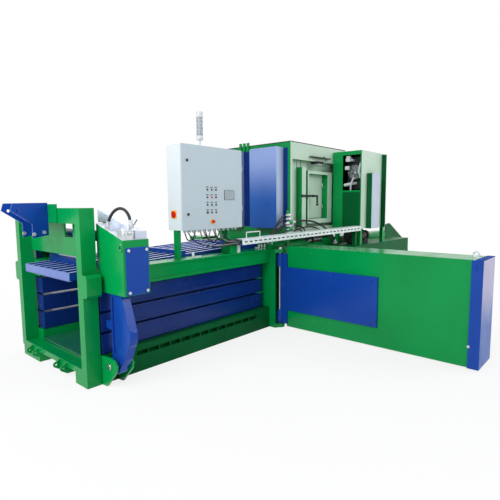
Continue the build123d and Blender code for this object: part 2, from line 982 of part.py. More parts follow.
with BuildPart() as clamp_rod:
    rod_length = eye_offset - clamp_piston_y
    rod_middle = (lever_middle, clamp_piston_y + rod_length / 2, eye_height)
    round_bar("Y", rod_middle, clamp_rod_radius, rod_length)
    round_bar("X", (lever_middle, eye_offset, eye_height), tongue_radius, 2 * clamp_tongue_half)
    block(
        (lever_middle - 40, lever_middle - clamp_tongue_half),
        (eye_offset - eye_radius - 20, eye_offset + tongue_radius),
        (eye_height - tongue_radius, eye_height + tongue_radius),
        Mode.SUBTRACT,
    )
    block(
        (lever_middle + clamp_tongue_half, lever_middle + 40),
        (eye_offset - eye_radius - 20, eye_offset + tongue_radius),
        (eye_height - tongue_radius, eye_height + tongue_radius),
        Mode.SUBTRACT,
    )
    round_bar(
        "X",
        (lever_middle, eye_offset, eye_height),
        eye_pin_radius + rod_eye_play,
        4 * clamp_tongue_half,
        Mode.SUBTRACT,
    )
    round_bar(
        "Y",
        (lever_middle, clamp_piston_y - clamp_piston_length / 2, eye_height),
        clamp_bore_radius - running_gap,
        clamp_piston_length,
    )
save(clamp_rod, "clamp_rod")

# Top flap: longitudinal bars, cross beams and the hinge bar
flap_outline = (
    (0.0, 1035.0),
    (0.0, 1118.0),
    (2600.0, 1210.0),
    (2880.0, 1210.0),
    (2880.0, 1120.0),
    (2600.0, 1128.0),
)
flap_beam_levels = (
    (270.0, 330.0, 1122.0, 1210.0),
    (1400.0, 1460.0, 1160.0, 1215.0),
    (2500.0, 2560.0, 1140.0, 1225.0),
)

with BuildPart() as top_flap:
    pitch = (2 * flap_half_width - flap_bar_width) / (flap_bar_count - 1)
    for index in range(flap_bar_count):
        left = -flap_half_width + index * pitch
        side_plate(flap_outline, (left, left + flap_bar_width))
    for start, end, low, high in flap_beam_levels:
        block((start, end), (-flap_half_width, flap_half_width), (low, high))
    round_bar("Y", (flap_pin_station, 0, flap_pin_height), flap_pin_radius, 2 * (half_channel + 70))
save(top_flap, "top_flap")

# Needle box: sheet box open toward the chamber, inner rails and lifting eye
box_sheet = 8.0
guide_half_width = 40.0
guide_height = 34.0

with BuildPart() as needle_box:
    block(
        (press_start, needle_box_end),
        (near * needle_box_inner, near * needle_box_outer),
        (needle_box_bottom, needle_box_top),
    )
    block(
        (press_start + box_sheet, needle_box_end - box_sheet),
        (near * (needle_box_inner - 10), near * (needle_box_outer - box_sheet)),
        (needle_box_bottom + box_sheet, needle_box_top - box_sheet),
        Mode.SUBTRACT,
    )
    for level in (
        (needle_box_bottom + box_sheet, needle_box_bottom + box_sheet + guide_height),
        (needle_box_top - box_sheet - guide_height, needle_box_top - box_sheet),
    ):
        block(
            (needle_station - guide_half_width, needle_station + guide_half_width),
            (near * needle_box_inner, near * (needle_box_outer - box_sheet)),
            level,
        )
    eye_centre = (needle_station, near * (needle_box_outer - 135), needle_box_top + 38)
    round_bar("X", eye_centre, 36, 14)
    block(
        (needle_station - 7, needle_station + 7),
        (eye_centre[1] - 36, eye_centre[1] + 36),
        (needle_box_top, eye_centre[2]),
    )
    round_bar("X", eye_centre, 18, 60, Mode.SUBTRACT)
save(needle_box, "needle_box")

# Panels on the front face of the needle box: hinge strip with knuckles, stiffened cover, end cap
panel_thickness = 25.0
panel_s = (press_start - panel_thickness, press_start)
hinge_strip_y = (near * (needle_pin_offset + 16), near * 1030)
hinge_strip_z = (60.0, 1075.0)
cover_panel_y = (near * 1030, near * 2387)
cover_panel_z = (262.0, 886.0)
cap_panel_y = (near * 3410, near * needle_box_outer)
box_knuckles = ((60.0, 250.0), (885.0, 1075.0))
box_knuckle_radius = 45.0

with BuildPart() as needle_box_panels:
    block(panel_s, hinge_strip_y, hinge_strip_z)
    block(panel_s, cover_panel_y, cover_panel_z)
    block(panel_s, cap_panel_y, (needle_box_bottom, needle_box_top))
    for level in box_knuckles:
        centre = (needle_pin_station, near * needle_pin_offset, sum(level) / 2)
        round_bar("Z", centre, box_knuckle_radius, level[1] - level[0])
    for level in (hinge_strip_z,):
        centre = (needle_pin_station, near * needle_pin_offset, sum(level) / 2)
        round_bar("Z", centre, needle_pin_radius + running_gap, level[1] - level[0] + 20, Mode.SUBTRACT)
    for offset, height in ((2303, 850), (2369, 341), (2303, 300), (3417, 259), (3450, 1100)):
        hex_head("-X", (panel_s[0], near * offset, height))
save(needle_box_panels, "needle_box_panels")

# Needle carriage and needles
carriage_s = (2990.0, 3290.0)
carriage_depth = 160.0
carriage_play = 2.0
carriage_z = (
    needle_box_bottom + box_sheet + guide_height,
    needle_box_top - box_sheet - guide_height - carriage_play,
)

with BuildPart() as needle_carriage:
    block(carriage_s, (near * carriage_offset, near * (carriage_offset + carriage_depth)), carriage_z)
    block(
        (carriage_s[0] + 40, carriage_s[1] - 40),
        (near * (carriage_offset + 30), near * (carriage_offset + carriage_depth + 10)),
        (carriage_z[0] + 60, carriage_z[1] - 60),
        Mode.SUBTRACT,
    )
save(needle_carriage, "needle_carriage")

needle_tip = 1005.0
needle_taper = 120.0

with BuildPart() as needles:
    for level in needle_levels:
        plan_plate(
            (
                (needle_station - needle_width / 2, near * carriage_offset),
                (needle_station - needle_width / 2, near * (needle_tip + needle_taper)),
                (needle_station - 4, near * needle_tip),
                (needle_station + 4, near * needle_tip),
                (needle_station + needle_width / 2, near * (needle_tip + needle_taper)),
                (needle_station + needle_width / 2, near * carriage_offset),
            ),
            (level - needle_height / 2, level + needle_height / 2),
        )
save(needles, "needles")

# Housing of the knotters on the far side
knotter_s = (2940.0, 3290.0)
knotter_z = (150.0, press_rail_top + 30)
knotter_depth = 340.0

with BuildPart() as knotter_housing:
    block(knotter_s, (far * half_frame, far * (half_frame + knotter_depth)), knotter_z)
    block(
        (knotter_s[0] + sheet, knotter_s[1] - sheet),
        (far * (half_frame - sheet), far * (half_frame + knotter_depth - sheet)),
        (knotter_z[0] + sheet, knotter_z[1] - sheet),
        Mode.SUBTRACT,
    )
save(knotter_housing, "knotter_housing")

# Hopper: recessed side walls between ribs, rim bands, door frame on the near side
side_ribs = (
    (hopper_start + 12, hopper_start + 50, hopper_shoulder - hopper_wall),
    (hopper_start + 300, hopper_start + 410, hopper_shoulder - 116),
)
frame_s = (door_start - 30, door_end + 140)
frame_z = (door_bottom - 74, door_top + 45)
rim_start = hopper_top - 80
outer_wall = hopper_half - hopper_wall
inner_wall_outer = hopper_inner_half + hopper_wall
door_lug_height = 25.0
door_lug_starts = (door_bottom + 166, door_bottom + 516)
door_lug_levels = tuple((start, start + door_lug_height) for start in door_lug_starts)
door_pin_collar = 9.0
visor_depth = 60.0
visor_thickness = 12.0
lamp_depth = 70.0
door_knuckle_length = 40.0
door_pin_station = door_end - 14
door_pin_offset = inner_wall_outer + 10

with BuildPart() as hopper_shell:
    block((hopper_start, hopper_end), (-hopper_half, hopper_half), (hopper_bottom, hopper_top))
    block(
        (hopper_start + hopper_wall, hopper_end - hopper_wall),
        (-hopper_inner_half, hopper_inner_half),
        (hopper_bottom + hopper_wall, hopper_top + 10),
        Mode.SUBTRACT,
    )
    block(
        (hopper_start + hopper_wall, hopper_end - hopper_wall),
        (-outer_wall, outer_wall),
        (hopper_shoulder, hopper_top + 10),
        Mode.SUBTRACT,
    )
    block(
        (hopper_start + chute_plate, hopper_end - chute_plate),
        (-half_channel - chute_plate, half_channel + chute_plate),
        (hopper_bottom - 10, hopper_bottom + hopper_wall + 10),
        Mode.SUBTRACT,
    )
    for side in (near, far):
        block(
            (hopper_start + hopper_wall, hopper_end - hopper_wall),
            (side * inner_wall_outer, side * (hopper_half + 10)),
            (hopper_bottom + 80, hopper_shoulder - hopper_wall),
            Mode.SUBTRACT,
        )
        for start, end, top in side_ribs:
            block((start, end), (side * inner_wall_outer, side * hopper_half), (hopper_bottom + 80, top))
        block(frame_s, (side * inner_wall_outer, side * hopper_half), frame_z)
        block(
            (door_start, door_end),
            (side * inner_wall_outer, side * (hopper_half + 10)),
            (door_bottom, door_top),
            Mode.SUBTRACT,
        )
    block(
        (door_start, door_end),
        (near * (hopper_inner_half - 10), near * (hopper_half + 10)),
        (door_bottom, door_top),
        Mode.SUBTRACT,
    )
    for low, high in door_lug_levels:
        block(
            (door_pin_station, door_end),
            (near * (door_pin_offset - door_pin_collar), near * (door_pin_offset + door_pin_collar)),
            (low, high),
        )
        centre = (door_pin_station, near * door_pin_offset, (low + high) / 2)
        round_bar("Z", centre, knuckle_radius, high - low)
        round_bar(
            "Z",
            (centre[0], centre[1], high + door_knuckle_length / 2),
            door_pin_radius,
            door_knuckle_length,
        )
    for offset in (10.0, 90.0, 170.0):
        block((hopper_start - 30, hopper_start), (offset, offset + 40), (rim_start, hopper_top + 50))
    block(
        (door_start, door_end + 10),
        (near * hopper_half, near * (hopper_half + visor_depth)),
        (hopper_shoulder + 44, hopper_shoulder + 44 + visor_thickness),
    )
    block(
        (door_start + 140, door_start + 310),
        (near * (hopper_half - 60), near * (hopper_half + lamp_depth)),
        (hopper_shoulder - 51, hopper_shoulder - hopper_wall),
    )
save(hopper_shell, "hopper_shell")

# Box panels on the front face of the hopper
front_panel_offsets = (135.0, 670.0)
front_panel_bottom = hopper_bottom + 80

with BuildPart() as hopper_front_panels:
    inner, outer = front_panel_offsets
    for side in (near, far):
        panel_y = (side * inner, side * outer)
        block((hopper_panel_start, hopper_start), panel_y, (front_panel_bottom, rim_start))
        block(
            (hopper_panel_start + sheet, hopper_start + 10),
            (side * (inner + sheet), side * (outer - sheet)),
            (front_panel_bottom + sheet, rim_start - sheet),
            Mode.SUBTRACT,
        )
save(hopper_front_panels, "hopper_front_panels")

# Hopper door with its knuckles, and the latch lever on a spindle
with BuildPart() as hopper_door:
    block(
        (door_start + door_play, door_end - door_play),
        (near * hopper_inner_half, near * inner_wall_outer),
        (door_bottom + door_play, door_top - door_play),
    )
    for low, high in door_lug_levels:
        z = (high + 0.5, high + door_knuckle_length)
        round_bar("Z", (door_pin_station, near * door_pin_offset, sum(z) / 2), knuckle_radius, z[1] - z[0])
        block(
            (door_pin_station - 30, door_pin_station),
            (near * (inner_wall_outer - 1), near * (inner_wall_outer + 8)),
            z,
        )
        round_bar(
            "Z",
            (door_pin_station, near * door_pin_offset, sum(z) / 2),
            door_pin_radius + running_gap,
            door_knuckle_length + 20,
            Mode.SUBTRACT,
        )
    round_bar(
        "Y",
        (latch_station, near * (inner_wall_outer + 30), latch_height),
        26,
        60,
    )
    round_bar(
        "Y",
        (latch_station, near * (inner_wall_outer + 35), latch_height),
        12 + running_gap,
        52,
        Mode.SUBTRACT,
    )
save(hopper_door, "hopper_door")

latch_bar_y = (near * (hopper_half + 4), near * (hopper_half + 18))

latch_bar_half = 16.0
latch_bar_s = (latch_station - 260, latch_station + 150)
latch_drop = 115.0

with BuildPart() as hopper_latch:
    block(latch_bar_s, latch_bar_y, (latch_height - latch_bar_half, latch_height + latch_bar_half))
    block(
        (latch_bar_s[1] - 2 * latch_bar_half, latch_bar_s[1]),
        latch_bar_y,
        (latch_height - latch_drop, latch_height),
    )
    spindle_end = hopper_half + 18
    spindle_start = inner_wall_outer + 15
    round_bar(
        "Y",
        (latch_station, near * (spindle_start + spindle_end) / 2, latch_height),
        12,
        spindle_end - spindle_start,
    )
save(hopper_latch, "hopper_latch")

# Oil tank beside the press
tank_bottom = 80.0
fitting_height = 22.0

with BuildPart() as oil_tank:
    block((tank_start, tank_end), (near * (half_frame + 10), near * tank_outer), (tank_bottom, tank_top))
    foot_y = (near * (half_frame + 60), near * (tank_outer - 50))
    for station in (tank_start + 100, (tank_start + tank_end) / 2, tank_end - 100):
        block((station - 40, station + 40), foot_y, (0, tank_bottom))
    block(
        (tank_start + 40, tank_start + 100),
        (near * (tank_outer - 100), near * (tank_outer - 40)),
        (tank_top, tray_finish[2] - tray_height - 5),
    )
    round_bar("Z", (tank_start + 50, near * 951, tank_top + fitting_height / 2), 20, fitting_height)
save(oil_tank, "oil_tank")

# Power pack cabinet on four legs over the tank
pack_sheet = 10.0
pack_window_y = (near * (pack_outer - 341), near * (pack_outer - 21))
pack_window_z = (pack_top - 640, pack_top - 65)
pack_panel_z = (pack_bottom + 25, pack_window_z[0] - 30)
pack_panel_depth = 6.0
side_box_s = (pack_start + 191, pack_start + 479)
side_box_depth = 95.0
side_box_top = pack_top - 360
side_plate_station = pack_end - 200
side_plate_depth = 85.0
leg = 60.0

with BuildPart() as power_pack_cabinet:
    block((pack_start, pack_end), (near * pack_inner, near * pack_outer), (pack_bottom, pack_top))
    side_box_y = (near * pack_outer, near * (pack_outer + side_box_depth))
    block(side_box_s, side_box_y, (pack_bottom, side_box_top))
    block(
        (side_plate_station, side_plate_station + pack_sheet),
        (near * pack_outer, near * (pack_outer + side_plate_depth)),
        (pack_bottom, pack_top - 20),
    )
    block(
        (pack_start + pack_sheet, pack_end - pack_sheet),
        (near * (pack_inner + pack_sheet), near * (pack_outer - pack_sheet)),
        (pack_bottom + pack_sheet, pack_top - pack_sheet),
        Mode.SUBTRACT,
    )
    block((pack_start - 5, pack_start + 20), pack_window_y, pack_window_z, Mode.SUBTRACT)
    block((pack_start - 5, pack_start + pack_panel_depth), pack_window_y, pack_panel_z, Mode.SUBTRACT)
    for station in (pack_start + 40, pack_end - leg):
        for offset in (pack_inner + 30, pack_outer - leg - 20):
            leg_y = (near * offset, near * (offset + leg))
            block((station, station + leg), leg_y, (tank_top, pack_bottom))
save(power_pack_cabinet, "power_pack_cabinet")

# Oil cooler behind the window, with its fan ring
cooler_s = (pack_start + 154, pack_start + 274)
cooler_y = (near * (pack_outer - 331), near * (pack_outer - 31))
cooler_z = (pack_window_z[0] + 30, pack_window_z[1] - 15)
cooler_foot_height = 50.0
fan_radius = 135.0
fan_ring = 15.0
fan_centre = (cooler_s[0] - 15, sum(cooler_y) / 2, pack_window_z[0] + 300)

with BuildPart() as oil_cooler:
    block(cooler_s, cooler_y, cooler_z)
    round_bar("X", fan_centre, fan_radius, 30)
    fan_mouth = (fan_centre[0] - 13, fan_centre[1], fan_centre[2])
    round_bar("X", fan_mouth, fan_radius - fan_ring, 30, Mode.SUBTRACT)
    foot_z = (pack_bottom + pack_sheet, pack_bottom + pack_sheet + cooler_foot_height)
    block(cooler_s, cooler_y, foot_z)
    block(
        (cooler_s[0] + 40, cooler_s[1] - 40),
        (fan_centre[1] - 30, fan_centre[1] + 30),
        (foot_z[1], cooler_z[0]),
    )
save(oil_cooler, "oil_cooler")

# Motor, bell housing and pump between the tank and the cabinet
motor_axis_height = tank_top + 125
motor_offset = pack_inner + 265
motor_s = (pack_start + 114, pack_start + 514)
bell_end = motor_s[1] + 120
pump_end = bell_end + 60
motor_foot_half = 70.0

with BuildPart() as motor_pump:
    for start, end, radius in (
        (motor_s[0], motor_s[1], 115),
        (motor_s[1], bell_end, 65),
        (bell_end, pump_end, 85),
    ):
        centre = ((start + end) / 2, near * motor_offset, motor_axis_height)
        round_bar("X", centre, radius, end - start)
    block(
        (motor_s[0] + 50, bell_end + 30),
        (near * (motor_offset - motor_foot_half), near * (motor_offset + motor_foot_half)),
        (tank_top, motor_axis_height - 50),
    )
save(motor_pump, "motor_pump")

# Cable tray: a perforated channel running diagonally up to the power pack
tray_low = Vector(x_at(tray_start[0]), near * tray_start[1], tray_start[2])
tray_high = Vector(x_at(tray_finish[0]), near * tray_finish[1], tray_finish[2])
tray_run = tray_high - tray_low
tray_length = tray_run.length
tray_across = Vector(0, 0, 1).cross(tray_run).normalized()
tray_end_plane = Plane(origin=tray_low, x_dir=tray_across, z_dir=tray_run.normalized())
tray_side_plane = Plane(
    origin=tray_low + tray_across * (tray_width / 2 + 10),
    x_dir=tray_run.normalized(),
    z_dir=tray_across * -1,
)
slot_pitch = 80.0
slot_length = 46.0
slot_height = 16.0
slot_count = int(tray_length // slot_pitch)

with BuildPart() as cable_tray:
    with BuildSketch(tray_end_plane):
        with Locations((0, -tray_height / 2)):
            Rectangle(tray_width, tray_height)
        with Locations((0, -tray_height / 2 - tray_sheet)):
            Rectangle(tray_width - 2 * tray_sheet, tray_height, mode=Mode.SUBTRACT)
    extrude(amount=tray_length)
    with BuildSketch(tray_side_plane):
        with Locations((tray_length / 2, 0)):
            with GridLocations(slot_pitch, 1, slot_count, 1):
                with Locations((0, -tray_height / 2)):
                    Rectangle(slot_length, slot_height)
    extrude(amount=tray_width + 20, mode=Mode.SUBTRACT)
save(cable_tray, "cable_tray")

# Hose bracket with its bulkhead fittings
hose_bracket_s = (3180.0, 3240.0)
hose_bracket_top = 1680.0
bracket_y = (near * (half_frame + 10), near * (half_frame + 22))
bulkhead_levels = (1500.0, 1400.0)
bulkhead_offset = 850.0
bulkhead_radius = 22.0

with BuildPart() as hose_bracket:
    block(hose_bracket_s, bracket_y, (press_rail_top - 50, hose_bracket_top))
    block(hose_bracket_s, (near * half_frame, bracket_y[0]), (press_rail_top - 50, press_rail_top - 10))
    middle = sum(hose_bracket_s) / 2
    for height in bulkhead_levels:
        round_bar("X", (middle, near * bulkhead_offset, height), bulkhead_radius, 80)
        block(
            (middle - 20, middle + 20),
            (bracket_y[1], near * bulkhead_offset),
            (height - 15, height + 15),
        )
save(hose_bracket, "hose_bracket")

# Hydraulic hoses
arch_route = (
    (264.0, -752.0, housing_peak + 10),
    (262.0, -790.0, housing_peak + 95),
    (258.0, -880.0, housing_peak + 142),
    (254.0, -990.0, housing_peak + 138),
    (240.0, -1088.0, housing_peak + 82),
    (232.0, -1138.0, valve_top + port_height),
)
loop_route = (
    (3250.0, -850.0, 1500.0),
    (3390.0, -858.0, 1514.0),
    (3570.0, -870.0, 1520.0),
    (3770.0, -885.0, 1500.0),
    (3960.0, -905.0, 1440.0),
    (4140.0, -925.0, 1345.0),
    (4290.0, -940.0, 1230.0),
    (4375.0, -950.0, 1115.0),
)
supply_route = (
    (3170.0, -850.0, 1500.0),
    (3040.0, -846.0, 1470.0),
    (2920.0, -836.0, 1400.0),
    (2830.0, -800.0, 1310.0),
    (2805.0, -738.0, 1215.0),
)


def hose(route):
    """A round hose along its route of straight runs joined by the largest tangent arcs."""
    points = [(x_at(s), y, z) for s, y, z in route]
    radii = route_radii(points)
    with BuildPart() as tube:
        with BuildLine():
            path = FilletPolyline(*points, radius=radii)
        with BuildSketch(Plane(origin=path @ 0, z_dir=path % 0)):
            Circle(hose_diameter / 2)
        sweep(path=path)
    solid_share = tube.part.volume / (pi * (hose_diameter / 2) ** 2 * path.length)
    print("hose radii", [round(radius) for radius in radii])
    print("hose length", round(path.length), "volume over section times length", round(solid_share, 4))
    return tube


arch_hose = hose(arch_route)
save(arch_hose, "arch_hose")
loop_hose = hose(loop_route)
save(loop_hose, "loop_hose")
supply_hose = hose(supply_route)
save(supply_hose, "supply_hose")

# Control cabinet body with a gland and the door hinge lugs
cabinet_lugs = tuple((cabinet_bottom + rise, cabinet_bottom + rise + 20) for rise in (220.0, 720.0))
cabinet_knuckle = 30.0
cabinet_sheet = 10.0

with BuildPart() as cabinet_body:
    block(
        (cabinet_start, cabinet_end),
        (near * cabinet_back, near * cabinet_front),
        (cabinet_bottom, cabinet_top),
    )
    block(
        (cabinet_start + cabinet_sheet, cabinet_end - cabinet_sheet),
        (near * (cabinet_back + cabinet_sheet), near * (cabinet_front + 10)),
        (cabinet_bottom + cabinet_sheet, cabinet_top - cabinet_sheet),
        Mode.SUBTRACT,
    )
    round_bar("Z", (cabinet_start + 50, near * 640, cabinet_bottom - 20), 18, 40)
    for low, high in cabinet_lugs:
        block((cabinet_end, cabinet_end + 19), (near * 800, near * (cabinet_front - 2)), (low, high))
        block(
            (cabinet_end + 1, cabinet_end + 19),
            (near * (cabinet_front - 2), near * cabinet_hinge_offset),
            (low, high),
        )
        centre = (cabinet_hinge_station, near * cabinet_hinge_offset, (low + high) / 2)
        round_bar("Z", centre, 9, high - low)
        round_bar("Z", (centre[0], centre[1], high + cabinet_knuckle / 2), 5, cabinet_knuckle)
save(cabinet_body, "cabinet_body")

# Posts of the control cabinet on the near top beam
post_y = (near * 720, near * 660)

with BuildPart() as cabinet_posts:
    block((1190, 1250), post_y, (beam_top, cabinet_bottom))
    block((2010, 2090), post_y, (beam_top, cabinet_bottom))
    block(
        (2000, tray_start[0] + 50),
        (near * (half_frame - 10), near * 620),
        (beam_top, tray_start[2] - tray_height),
    )
save(cabinet_posts, "cabinet_posts")

# Cabinet door with the bores of its buttons
door_face = cabinet_front + cabinet_door_thickness + 2
door_back = cabinet_front + 2
push_buttons = (
    ("start_button", button_stations[0], button_heights[1]),
    ("stop_button", button_stations[1], button_heights[1]),
    ("reset_button", button_stations[2], button_heights[1]),
)
stop_stem_radius = 10.0

with BuildPart() as cabinet_door:
    block((cabinet_start, cabinet_end), (near * door_back, near * door_face), (cabinet_bottom, cabinet_top))
    for low, high in cabinet_lugs:
        z = (high + 0.5, high + cabinet_knuckle)
        centre = (cabinet_hinge_station, near * cabinet_hinge_offset, sum(z) / 2)
        round_bar("Z", centre, 9, z[1] - z[0])
        block(
            (cabinet_end - 5, cabinet_hinge_station),
            (near * cabinet_hinge_offset, near * (cabinet_hinge_offset + 9)),
            z,
        )
        round_bar("Z", centre, 5 + running_gap, cabinet_knuckle + 20, Mode.SUBTRACT)
    for label, station, height in push_buttons:
        round_bar("Y", (station, near * door_face, height), button_radius + running_gap, 60, Mode.SUBTRACT)
    centre = (stop_station, near * door_face, stop_height)
    round_bar("Y", centre, stop_stem_radius + running_gap, 60, Mode.SUBTRACT)
save(cabinet_door, "cabinet_door")

# Screen, lamps, remaining buttons and the collar of the emergency stop
collar_outer = 30.0

with BuildPart() as door_controls:
    block((1845, 2020), (near * door_face, near * (door_face + 6)), (1830, 1950))
    for station in button_stations:
        for height in (button_heights[0], button_heights[2], button_heights[3]):
            if (station, height) != (button_stations[0], button_heights[3]):
                round_bar("Y", (station, near * (door_face + 4), height), button_radius, 8)
    collar_centre = (stop_station, near * (door_face + 2), stop_height)
    round_bar("Y", collar_centre, collar_outer, 4)
    round_bar("Y", collar_centre, stop_stem_radius + 1, 40, Mode.SUBTRACT)
save(door_controls, "door_controls")

for label, station, height in push_buttons:
    with BuildPart() as push_button:
        round_bar("Y", (station, near * (door_face - 1), height), button_radius, 18)
    save(push_button, label)

with BuildPart() as emergency_stop:
    round_bar("Y", (stop_station, near * (door_face + 21), stop_height), 20, 18)
    round_bar("Y", (stop_station, near * (door_face + 2), stop_height), stop_stem_radius, 22)
save(emergency_stop, "emergency_stop")

with BuildPart() as mode_selector:
    centre = (button_stations[0], near * (door_face + 3), button_heights[3])
    round_bar("Y", centre, 13, 6)
    block(
        (button_stations[0] - 4, button_stations[0] + 4),
        (near * (door_face + 6), near * (door_face + 16)),
        (button_heights[3] - 12, button_heights[3] + 12),
    )
save(mode_selector, "mode_selector")

lock_station = cabinet_start + 80
door_locks = (("upper_door_lock", cabinet_top - 181), ("lower_door_lock", cabinet_bottom + 183))

for label, height in door_locks:
    with BuildPart() as door_lock:
        round_bar("Y", (lock_station, near * (door_face + 3), height), 16, 6)
        block(
            (lock_station - 5, lock_station + 5),
            (near * (door_face + 6), near * (door_face + 12)),
            (height - 14, height + 14),
        )
    save(door_lock, label)

# Main switch on the front side wall of the cabinet
main_switch_offset = cabinet_back + 105
main_switch_height = cabinet_bottom + 183

with BuildPart() as main_switch:
    round_bar("X", (cabinet_start - 6, near * main_switch_offset, main_switch_height), 38, 12)
    block(
        (cabinet_start - 34, cabinet_start - 12),
        (near * (main_switch_offset + 7), near * (main_switch_offset - 7)),
        (main_switch_height - 32, main_switch_height + 32),
    )
save(main_switch, "main_switch")

# Signal tower on the cabinet roof
tower_foot = 14.0
tower_pole_top = 85.0
lens_rises = ((135.0, 200.0), (210.0, 270.0), (280.0, 345.0))
cap_rises = ((tower_pole_top, 135.0), (200.0, 210.0), (270.0, 280.0), (345.0, 415.0))

with BuildPart() as stack_light:
    for low, high, radius in ((0, tower_foot, stack_radius), (tower_foot, tower_pole_top, 12)):
        centre = (stack_station, near * stack_offset, cabinet_top + (low + high) / 2)
        round_bar("Z", centre, radius, high - low)
    for low, high in cap_rises:
        centre = (stack_station, near * stack_offset, cabinet_top + (low + high) / 2)
        round_bar("Z", centre, stack_radius, high - low)
save(stack_light, "stack_light")

with BuildPart() as stack_light_lenses:
    for low, high in lens_rises:
        centre = (stack_station, near * stack_offset, cabinet_top + (low + high) / 2)
        round_bar("Z", centre, stack_radius - 2, high - low)
save(stack_light_lenses, "stack_light_lenses")
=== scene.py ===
# %% [markdown]
# # A channel baler, dressed for its picture
# The machine presses waste paper into bales: a ram pushes the paper down a channel, needles pull
# wire through, and the finished bale leaves at the portal in front. Its solids were modelled in a
# CAD program and come in as one mesh for each part, standing in its real place. This script
# gives them paint, steel and rubber, adds what is too fine for the solids, and lights a studio.

# %% The frame
import bmesh
import bpy
import math
import numpy as np
from mathutils import Matrix, Vector


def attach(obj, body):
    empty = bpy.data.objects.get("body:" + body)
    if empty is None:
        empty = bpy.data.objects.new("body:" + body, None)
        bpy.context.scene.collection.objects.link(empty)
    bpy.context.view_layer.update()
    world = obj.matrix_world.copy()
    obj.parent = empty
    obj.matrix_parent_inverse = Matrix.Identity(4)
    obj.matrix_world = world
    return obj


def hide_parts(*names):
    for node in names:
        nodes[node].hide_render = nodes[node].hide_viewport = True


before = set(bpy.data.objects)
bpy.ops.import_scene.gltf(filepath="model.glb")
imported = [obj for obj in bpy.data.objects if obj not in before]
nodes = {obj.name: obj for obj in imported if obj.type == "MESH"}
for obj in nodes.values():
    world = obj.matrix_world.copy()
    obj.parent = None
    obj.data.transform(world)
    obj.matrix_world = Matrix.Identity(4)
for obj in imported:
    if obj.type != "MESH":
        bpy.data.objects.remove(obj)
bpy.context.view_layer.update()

# %% [markdown]
# ## The camera
# A photographer stood off the front corner of the machine. The place, the turn and the lens come
# from straight edges of known direction: lines that run along the machine meet in one point of
# the picture, and lines across it in another. A camera in Blender looks along its own minus Z, so
# its matrix has the picture's right, the picture's up and the reverse of the view as columns.

# %% Camera
def stand(name, data):
    """A new object with this data, linked into the scene."""
    thing = bpy.data.objects.new(name, data)
    bpy.context.scene.collection.objects.link(thing)
    return thing


camera_place = Vector((-7.372, -4.585, 1.771))
yaw, pitch, roll = (math.radians(angle) for angle in (41.785, 6.153, -0.443))

forward = Vector((math.cos(yaw) * math.cos(pitch), math.sin(yaw) * math.cos(pitch), -math.sin(pitch)))
level_right = Vector((math.sin(yaw), -math.cos(yaw), 0))
level_up = level_right.cross(forward)
right = level_right * math.cos(roll) + level_up * math.sin(roll)
up = level_up * math.cos(roll) - level_right * math.sin(roll)

camera_data = bpy.data.cameras.new("camera")
camera_data.lens = 30.4
camera_data.sensor_width = 36.0
camera = stand("camera", camera_data)
camera.matrix_world = Matrix.Translation(camera_place) @ Matrix((right, up, -forward)).transposed().to_4x4()
bpy.context.scene.camera = camera
print("camera looks along", [round(v, 3) for v in forward])

# %% [markdown]
# ## Places on the machine
# The fitters measure along the machine from the front of the portal, across it from the middle
# line, and up from the floor, all in millimetres. One function turns such places, as one numpy
# array, into metres in the frame.

# %% Places
PORTAL_X = -5.5


def at(places):
    """(station, offset, height) in millimetres as metres, with the portal's X added to the station."""
    points = np.asarray(places, float) / 1000
    points[..., 0] += PORTAL_X
    return points


print("portal sill", at((0, 0, 176)))

# %% [markdown]
# ## Writing a finish
# Each finish is a small network of nodes around one Principled shader. One helper adds a node with
# its settings and links in one line. Colours are written as they look on a screen, and the shader
# wants linear light, so another undoes the screen's curve. A third gives a pattern's scale from the
# real size of its grain: a noise of scale 1 has grains about a metre wide. No skin has one even
# colour and gloss, so the last helper lets two patterns move them a little.

# %% Helpers for finishes
SPAN = {"From Min": 0.3, "From Max": 0.7}  # nearly all of a noise lies between these values


def linear(colour):
    """The linear RGBA of an sRGB hex colour: c / 12.92 near black, else ((c + 0.055) / 1.055) ** 2.4."""
    channels = np.array([int(colour[i:i + 2], 16) for i in (1, 3, 5)]) / 255
    light = np.where(channels <= 0.04045, channels / 12.92, ((channels + 0.055) / 1.055) ** 2.4)
    return [*light.tolist(), 1.0]


def fill(node, sources):
    """Links or sets a node's sockets by name or number."""
    for name, value in sources.items():
        if isinstance(value, bpy.types.NodeSocket):
            node.id_data.links.new(value, node.inputs[name])
        else:
            node.inputs[name].default_value = value


def add(tree, kind, sources=None, **settings):
    """Adds a node, sets its properties and fills its sockets."""
    node = tree.nodes.new("ShaderNode" + kind)
    for name, value in settings.items():
        setattr(node, name, value)
    fill(node, sources or {})
    return node.outputs


def grain(size):
    """The scale of a pattern whose grains are that many millimetres wide."""
    return 1000 / size


def start_finish(name, sockets):
    """A new material: its node tree, its shader with plain values set, and object coordinates."""
    finish = bpy.data.materials.new(name)
    finish.use_nodes = True
    tree = finish.node_tree
    shader = tree.nodes["Principled BSDF"]
    fill(shader, sockets)
    place = add(tree, "TexCoord")["Object"]
    return finish, tree, shader, place


def tone_and_gloss(shader, share, colours, pattern, low, high, span=SPAN):
    """Two colours mixed by a share, and a roughness that follows a pattern from low to high."""
    tones = {0: share, 6: linear(colours[0]), 7: linear(colours[1])}
    tone = add(shader.id_data, "Mix", tones, data_type="RGBA")[2]
    bounds = {"Value": pattern, **span, "To Min": low, "To Max": high}
    fill(shader, {"Base Color": tone, "Roughness": add(shader.id_data, "MapRange", bounds)["Result"]})


print("half grey in linear light", round(linear("#808080")[0], 3))

